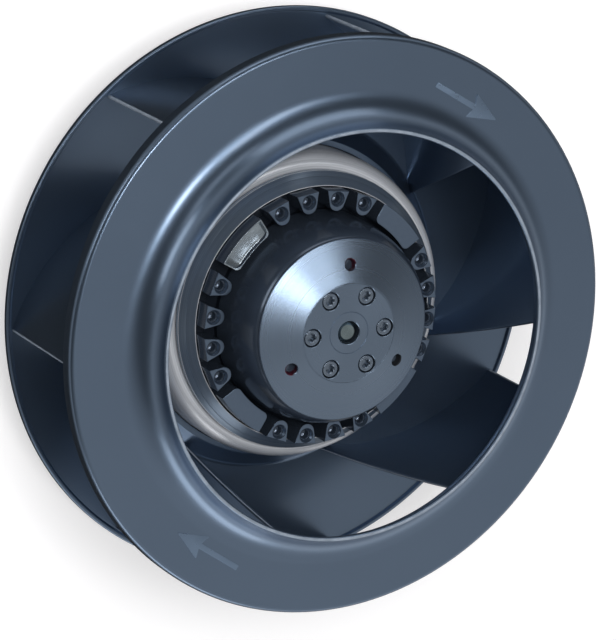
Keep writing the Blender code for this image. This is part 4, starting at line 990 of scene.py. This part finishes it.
def pad_pocket():
    """A cutter that is deepest in its middle and rises to the pad's two ends."""
    depth, steps, wall = 2.2 * MM, 24, 0.6 * MM
    half = PAD_SWEEP / 2 - wall / BOSS_OUTER
    rows = []
    for i in range(steps + 1):
        share = 2 * i / steps - 1
        edge = math.sqrt(max(0.0, 1 - share ** 4))
        low = BOSS_TOP_Z - 0.05 * MM - depth * edge
        inner = PAD_INNER + wall + PAD_CORNER * share ** 8
        rows.append([
            (*on_circle(inner, half * share), low + 0.3 * MM),
            (*on_circle(inner + 1.2 * MM, half * share), low),
            (*on_circle(BOSS_OUTER - 0.7 * MM, half * share), low),
            (*on_circle(BOSS_OUTER - 0.5 * MM, half * share), BOSS_TOP_Z + 1 * MM),
            (*on_circle(inner - 0.2 * MM, half * share), BOSS_TOP_Z + 1 * MM),
        ])
    return loft(rows)


def loft(rows):
    """A closed solid through rows of points, with both ends capped."""
    bm, loops = skinned(rows)
    bm.faces.new(loops[0])
    bm.faces.new(loops[-1])
    bmesh.ops.recalc_face_normals(bm, faces=bm.faces)
    return bm


def six_lobe(radius, depth):
    """Outline of a six-lobed drive socket."""
    return [on_circle(radius * (1 + depth * math.cos(6 * a)), a) for a in spaced(SCREW_SEGMENTS)]


def cap_screw(name, node, seat, towards, at, turn, finish):
    """A low cap screw with a six-lobed socket, its tip up if `towards` is 1 and down if it is -1."""
    head, shank, length = 3.5 * MM, 1.7 * MM, 10 * MM
    socket_radius, lobe_share, socket_depth = 1.75 * MM, 0.16, 2.2 * MM
    top = seat + SCREW_HEAD_HEIGHT
    profile = rounded([
        (0, seat - length), (shank - 0.4 * MM, seat - length), (shank, seat - length + 0.5 * MM),
        (shank, seat), (head, seat, 0.1 * MM), (head, top, 0.45 * MM),
        (head - 0.75 * MM, top), (head - 0.85 * MM, top - 0.15 * MM), (0, top - 0.15 * MM),
    ])
    piece = place(name, lathe(profile, SCREW_SEGMENTS), finish)
    socket = prism(six_lobe(socket_radius, lobe_share), top - socket_depth, top + 0.4 * MM)
    low, high = top - 0.5 * MM, top + 0.1 * MM
    mouth = lathe([(0, low), (socket_radius, low), (2.35 * MM, high), (0, high)], SCREW_SEGMENTS)
    carve(piece, [socket])
    carve(piece, [mouth])
    if towards > 0:
        for v in piece.data.vertices:
            v.co.y, v.co.z = -v.co.y, 2 * seat - v.co.z
    for v in piece.data.vertices:
        v.co = Matrix.Rotation(turn, 3, "Z") @ v.co + Vector((at[0], at[1], 0))
    weigh_normals(piece)
    fit(piece, ROTOR, "screw_steel", node)


def screws(finish):
    turns = (0.3, 0.9, 0.1, 0.6, 1.3, 0.75)
    seat = FACE_Z - COUNTERBORE_DEPTH + SEAT
    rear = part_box("impeller_screw_1")[0].z + SCREW_HEAD_HEIGHT
    for i, angle in enumerate(spaced(6)):
        cap_screw(f"hub_cap_screw_{i + 1}", f"hub_screw_{i + 1}", seat, -1,
                  on_circle(SCREW_CIRCLE, angle), turns[i], finish)
        cap_screw(f"rim_cap_screw_{i + 1}", f"impeller_screw_{i + 1}", rear, 1,
                  on_circle(RIM_SCREW_CIRCLE, angle), turns[-i], finish)


def shaft(finish):
    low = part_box("shaft")[0].z
    journal, middle, front, chamfer = 4.7 * MM, 6.2 * MM, 4 * MM, 0.8 * MM
    profile = rounded([
        (0, low), (journal, low, 0.5 * MM), (journal, REAR_SHOULDER_Z), (middle, REAR_SHOULDER_Z, 0.2 * MM),
        (middle, FRONT_SHOULDER_Z, 0.2 * MM), (journal, FRONT_SHOULDER_Z), (journal, FRONT_SEAT_Z, 0.2 * MM),
        (front, FRONT_SEAT_Z), (front, SHAFT_END_Z - chamfer), (front - chamfer, SHAFT_END_Z), (0, SHAFT_END_Z),
    ])
    piece = place("shaft_skin", lathe(profile, SMALL_SEGMENTS), finish)
    weigh_normals(piece)
    fit(piece, ROTOR, "ground_steel", "shaft")


# Stator


def stator_flange(finish):
    tube, bore, inner_bore, pit = 16.3 * MM, 13.3 * MM, 12 * MM, 9 * MM
    groove, groove_top = 14.2 * MM, 66.1 * MM
    recess, land, thickness, floor_z = 28 * MM, 1.5 * MM, 6 * MM, 4 * MM
    labyrinth_top, labyrinth = END_RING_Z + 3 * MM, FLANGE_RADIUS - 3 * MM
    profile = rounded([
        (0, land), (recess, land, 0.6 * MM), (recess, 0, 0.4 * MM), (FLANGE_RADIUS, 0, 1.2 * MM),
        (FLANGE_RADIUS, labyrinth_top, 0.5 * MM), (labyrinth, labyrinth_top, 0.5 * MM),
        (labyrinth, thickness, 1 * MM), (tube, thickness, 2 * MM), (tube, FLANGE_TUBE_Z, 0.5 * MM),
        (bore, FLANGE_TUBE_Z, 0.4 * MM), (bore, groove_top), (groove, groove_top), (groove, FRONT_SEAT_Z),
        (bore, FRONT_SEAT_Z), (bore, FRONT_SHOULDER_Z), (inner_bore, FRONT_SHOULDER_Z),
        (inner_bore, REAR_SHOULDER_Z), (bore, REAR_SHOULDER_Z),
        (bore, REAR_SEAT_Z), (pit, REAR_SEAT_Z), (pit, floor_z), (0, floor_z),
    ])
    piece = place("stator_flange_skin", lathe(profile, MOTOR_SEGMENTS), finish)
    above, below, step = thickness + 0.3 * MM, -0.3 * MM, 2.2 * MM
    wide, narrow = 7.1 * MM, 5.3 * MM
    cutters = [
        tapped_hole(2.1 * MM, -0.1 * MM, above, on_circle(37.5 * MM, a)) for a in spaced(4, math.pi / 4)
    ]
    cutters.append(lathe([
        (0, below), (wide, below), (wide, step), (narrow, step), (narrow, above), (0, above),
    ], SMALL_SEGMENTS, (GROMMET_X, 0)))
    carve(piece, cutters)
    weigh_normals(piece)
    fit(piece, STATOR, "bare_aluminium", "stator_flange")


def tapped_hole(radius, low, high, at):
    """A cutter for a through hole with the grooves of an M5 thread."""
    pitch, depth, chamfer = 0.8 * MM, 0.35 * MM, 0.5 * MM
    profile = [(0, low), (radius + depth + chamfer, low), (radius + depth, low + chamfer)]
    z = low + chamfer
    while z + pitch < high:
        profile += [(radius, z + 0.25 * pitch), (radius + depth, z + 0.75 * pitch)]
        z += pitch
    profile += [(radius, high), (0, high)]
    return lathe(profile, DRILL_SEGMENTS, at)


def cable_grommet(finish):
    bore, body, collar, thickness = 3 * MM, 5 * MM, 6.8 * MM, 1.6 * MM
    low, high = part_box("cable_grommet")[0].z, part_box("cable_grommet")[1].z
    profile = rounded([
        (bore, low, 0.5 * MM), (collar, low, 0.7 * MM), (collar, low + thickness, 0.3 * MM),
        (body, low + thickness), (body, high - thickness), (collar, high - thickness, 0.3 * MM),
        (collar - 0.3 * MM, high, 0.7 * MM), (bore, high, 0.5 * MM),
    ])
    piece = place("cable_grommet_skin", lathe(profile, SMALL_SEGMENTS, (GROMMET_X, 0)), finish)
    weigh_normals(piece)
    fit(piece, STATOR, "rubber", "cable_grommet")


def finish_inner_pieces(ground, screw, laminated, varnished, polymer):
    """New materials for the CAD pieces that keep their shape."""
    finishes = {
        "shaft_hub": ground, "preload_spring": ground, "stator_core": laminated,
        "front_winding": varnished, "rear_winding": varnished,
        "front_bearing_inner_ring": ground, "front_bearing_outer_ring": ground,
        "rear_bearing_inner_ring": ground, "rear_bearing_outer_ring": ground,
        "front_bearing_cage": polymer, "rear_bearing_cage": polymer,
        "shaft_clip": screw, "bearing_retaining_ring": screw,
    }
    for node, finish in finishes.items():
        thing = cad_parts[node]
        for slot in thing.material_slots:
            slot.material = finish


# Stage

FAN_MIDDLE = Vector((0, 0, 0.07))
FLOOR_HALF = 3.0


def camera():
    """The photograph's view, found from its ellipses: a long lens, tilted off the fan axis and rolled."""
    data = bpy.data.cameras.new("camera")
    data.sensor_width = 36
    data.lens = 221.6
    place_at = Vector((-0.7468, 0.4794, 1.4761))
    data.clip_end = 10
    thing = bpy.data.objects.new("camera", data)
    right = Vector((0.8846, 0.0, 0.4663))
    up = Vector((0.1348, 0.9573, -0.2557))
    back = right.cross(up).normalized()
    right = up.cross(back).normalized()
    up = back.cross(right)
    axes = Matrix((right, up, back)).transposed().to_4x4()
    thing.matrix_world = Matrix.Translation(place_at) @ axes
    bpy.context.scene.collection.objects.link(thing)
    bpy.context.scene.camera = thing


def softbox(name, direction, distance, width, height, power):
    """A white area light `distance` away from the fan's middle in this direction, facing it."""
    data = bpy.data.lights.new(name, "AREA")
    data.shape = "RECTANGLE"
    data.size, data.size_y = width, height
    data.energy = power
    thing = bpy.data.objects.new(name, data)
    towards = Vector(direction).normalized()
    thing.location = FAN_MIDDLE + towards * distance
    thing.rotation_mode = "QUATERNION"
    thing.rotation_quaternion = towards.to_track_quat("Z", "Y")
    bpy.context.scene.collection.objects.link(thing)
    return thing


def sky(world, layers):
    """A world of layers added up, each a direction and (nearness, grey) stops towards it."""
    world.use_nodes = True
    tree = world.node_tree
    where = tree.nodes.new("ShaderNodeTexCoord")
    total = None
    for direction, stops in layers:
        near = tree.nodes.new("ShaderNodeVectorMath")
        near.operation = "DOT_PRODUCT"
        near.inputs[1].default_value = Vector(direction).normalized()
        ramp = tree.nodes.new("ShaderNodeValToRGB")
        elements = ramp.color_ramp.elements
        while len(elements) < len(stops):
            elements.new(1.0)
        for element, (nearness, grey) in zip(elements, stops):
            element.position = nearness
            element.color = (grey, grey, grey, 1.0)
        tree.links.new(where.outputs["Generated"], near.inputs[0])
        tree.links.new(near.outputs["Value"], ramp.inputs["Fac"])
        layer = ramp.outputs["Color"]
        if total:
            added = tree.nodes.new("ShaderNodeMix")
            added.data_type, added.blend_type = "RGBA", "ADD"
            added.inputs[0].default_value = 1.0
            tree.links.new(total, added.inputs[6])
            tree.links.new(layer, added.inputs[7])
            layer = added.outputs[2]
        total = layer
    tree.links.new(total, tree.nodes["Background"].inputs["Color"])


def studio():
    """A white floor just below the flange, a sky for the metal to reflect, and the lights."""
    bm = bmesh.new()
    bmesh.ops.create_grid(bm, x_segments=8, y_segments=8, size=FLOOR_HALF)
    floor = place("floor", bm, pale_floor())
    floor.location.z = -0.5 * MM
    floor.visible_glossy = False
    world = bpy.data.worlds.new("studio")
    above = [(0.0, 0.02), (0.01, 0.50), (0.14, 0.42), (0.32, 0.07), (0.5, 0.03), (1.0, 0.03)]
    below = [(0.0, 0.0), (0.01, 0.28), (0.35, 0.12), (0.65, 0.0), (1.0, 0.0)]
    front = [(0.0, 0.0), (0.42, 0.0), (0.66, 0.22), (0.74, 0.24), (0.82, 0.33), (0.90, 0.40), (1.0, 0.36)]
    sky(world, [((0, 0, 1), above), ((0, 0, -1), below), ((0.3, -0.8, 0.52), front)])
    bpy.context.scene.world = world
    softbox("key", (-0.02, 0.14, 0.99), 1.4, 0.22, 0.22, 2.1)
    softbox("bar", (0.20, 0.31, 0.93), 1.4, 0.56, 0.20, 1.3)
    softbox("top", (-0.3645, 0.6906, 0.622), 1.6, 1.0, 0.3, 0.7)
    softbox("rear", (0.20, 0.88, 0.34), 1.7, 1.5, 0.6, 3)
    softbox("front", (-0.30, -0.93, 0.20), 1.7, 1.5, 0.5, 3)
    softbox("left", (-0.80, 0.45, 0.42), 1.7, 0.8, 0.35, 2)
    wash = softbox("wash", (-0.26, 0.30, 0.92), 1.8, 0.8, 0.8, 30)
    wash.visible_glossy = False
    bpy.context.scene.view_settings.view_transform = "Standard"


def build():
    camera()
    studio()
    paint, cast, machined = painted_steel(), cast_bell(), machined_face()
    steel, screw, ground = turned_steel(), screw_steel(), ground_steel()
    aluminium = bare_aluminium()
    edge = edge_highlight_paint()
    front_shroud(paint, edge)
    tint = arrow_tint()
    rotation_arrow("rotation_arrow_1", math.radians(57.3), tint)
    rotation_arrow("rotation_arrow_2", math.radians(-126.3), tint)
    back_plate(paint)
    blades(paint, edge)
    bell_shell(cast, trough_painted_shade())
    bell_rim(turned_rim(), steel)
    machined_disc(machined, hole_shade_paint(), threadlock_and_hole_shade())
    milled = milled_pad()
    bosses(cast, milled)
    pads(milled, cast, pocket_highlight_paint())
    rotor_core(steel)
    rotor_end_ring(aluminium)
    screws(screw)
    shaft(ground)
    stator_flange(aluminium)
    cable_grommet(matte_rubber())
    finish_inner_pieces(ground, screw, laminated_steel(), varnished_winding(), cage_polymer())


build()
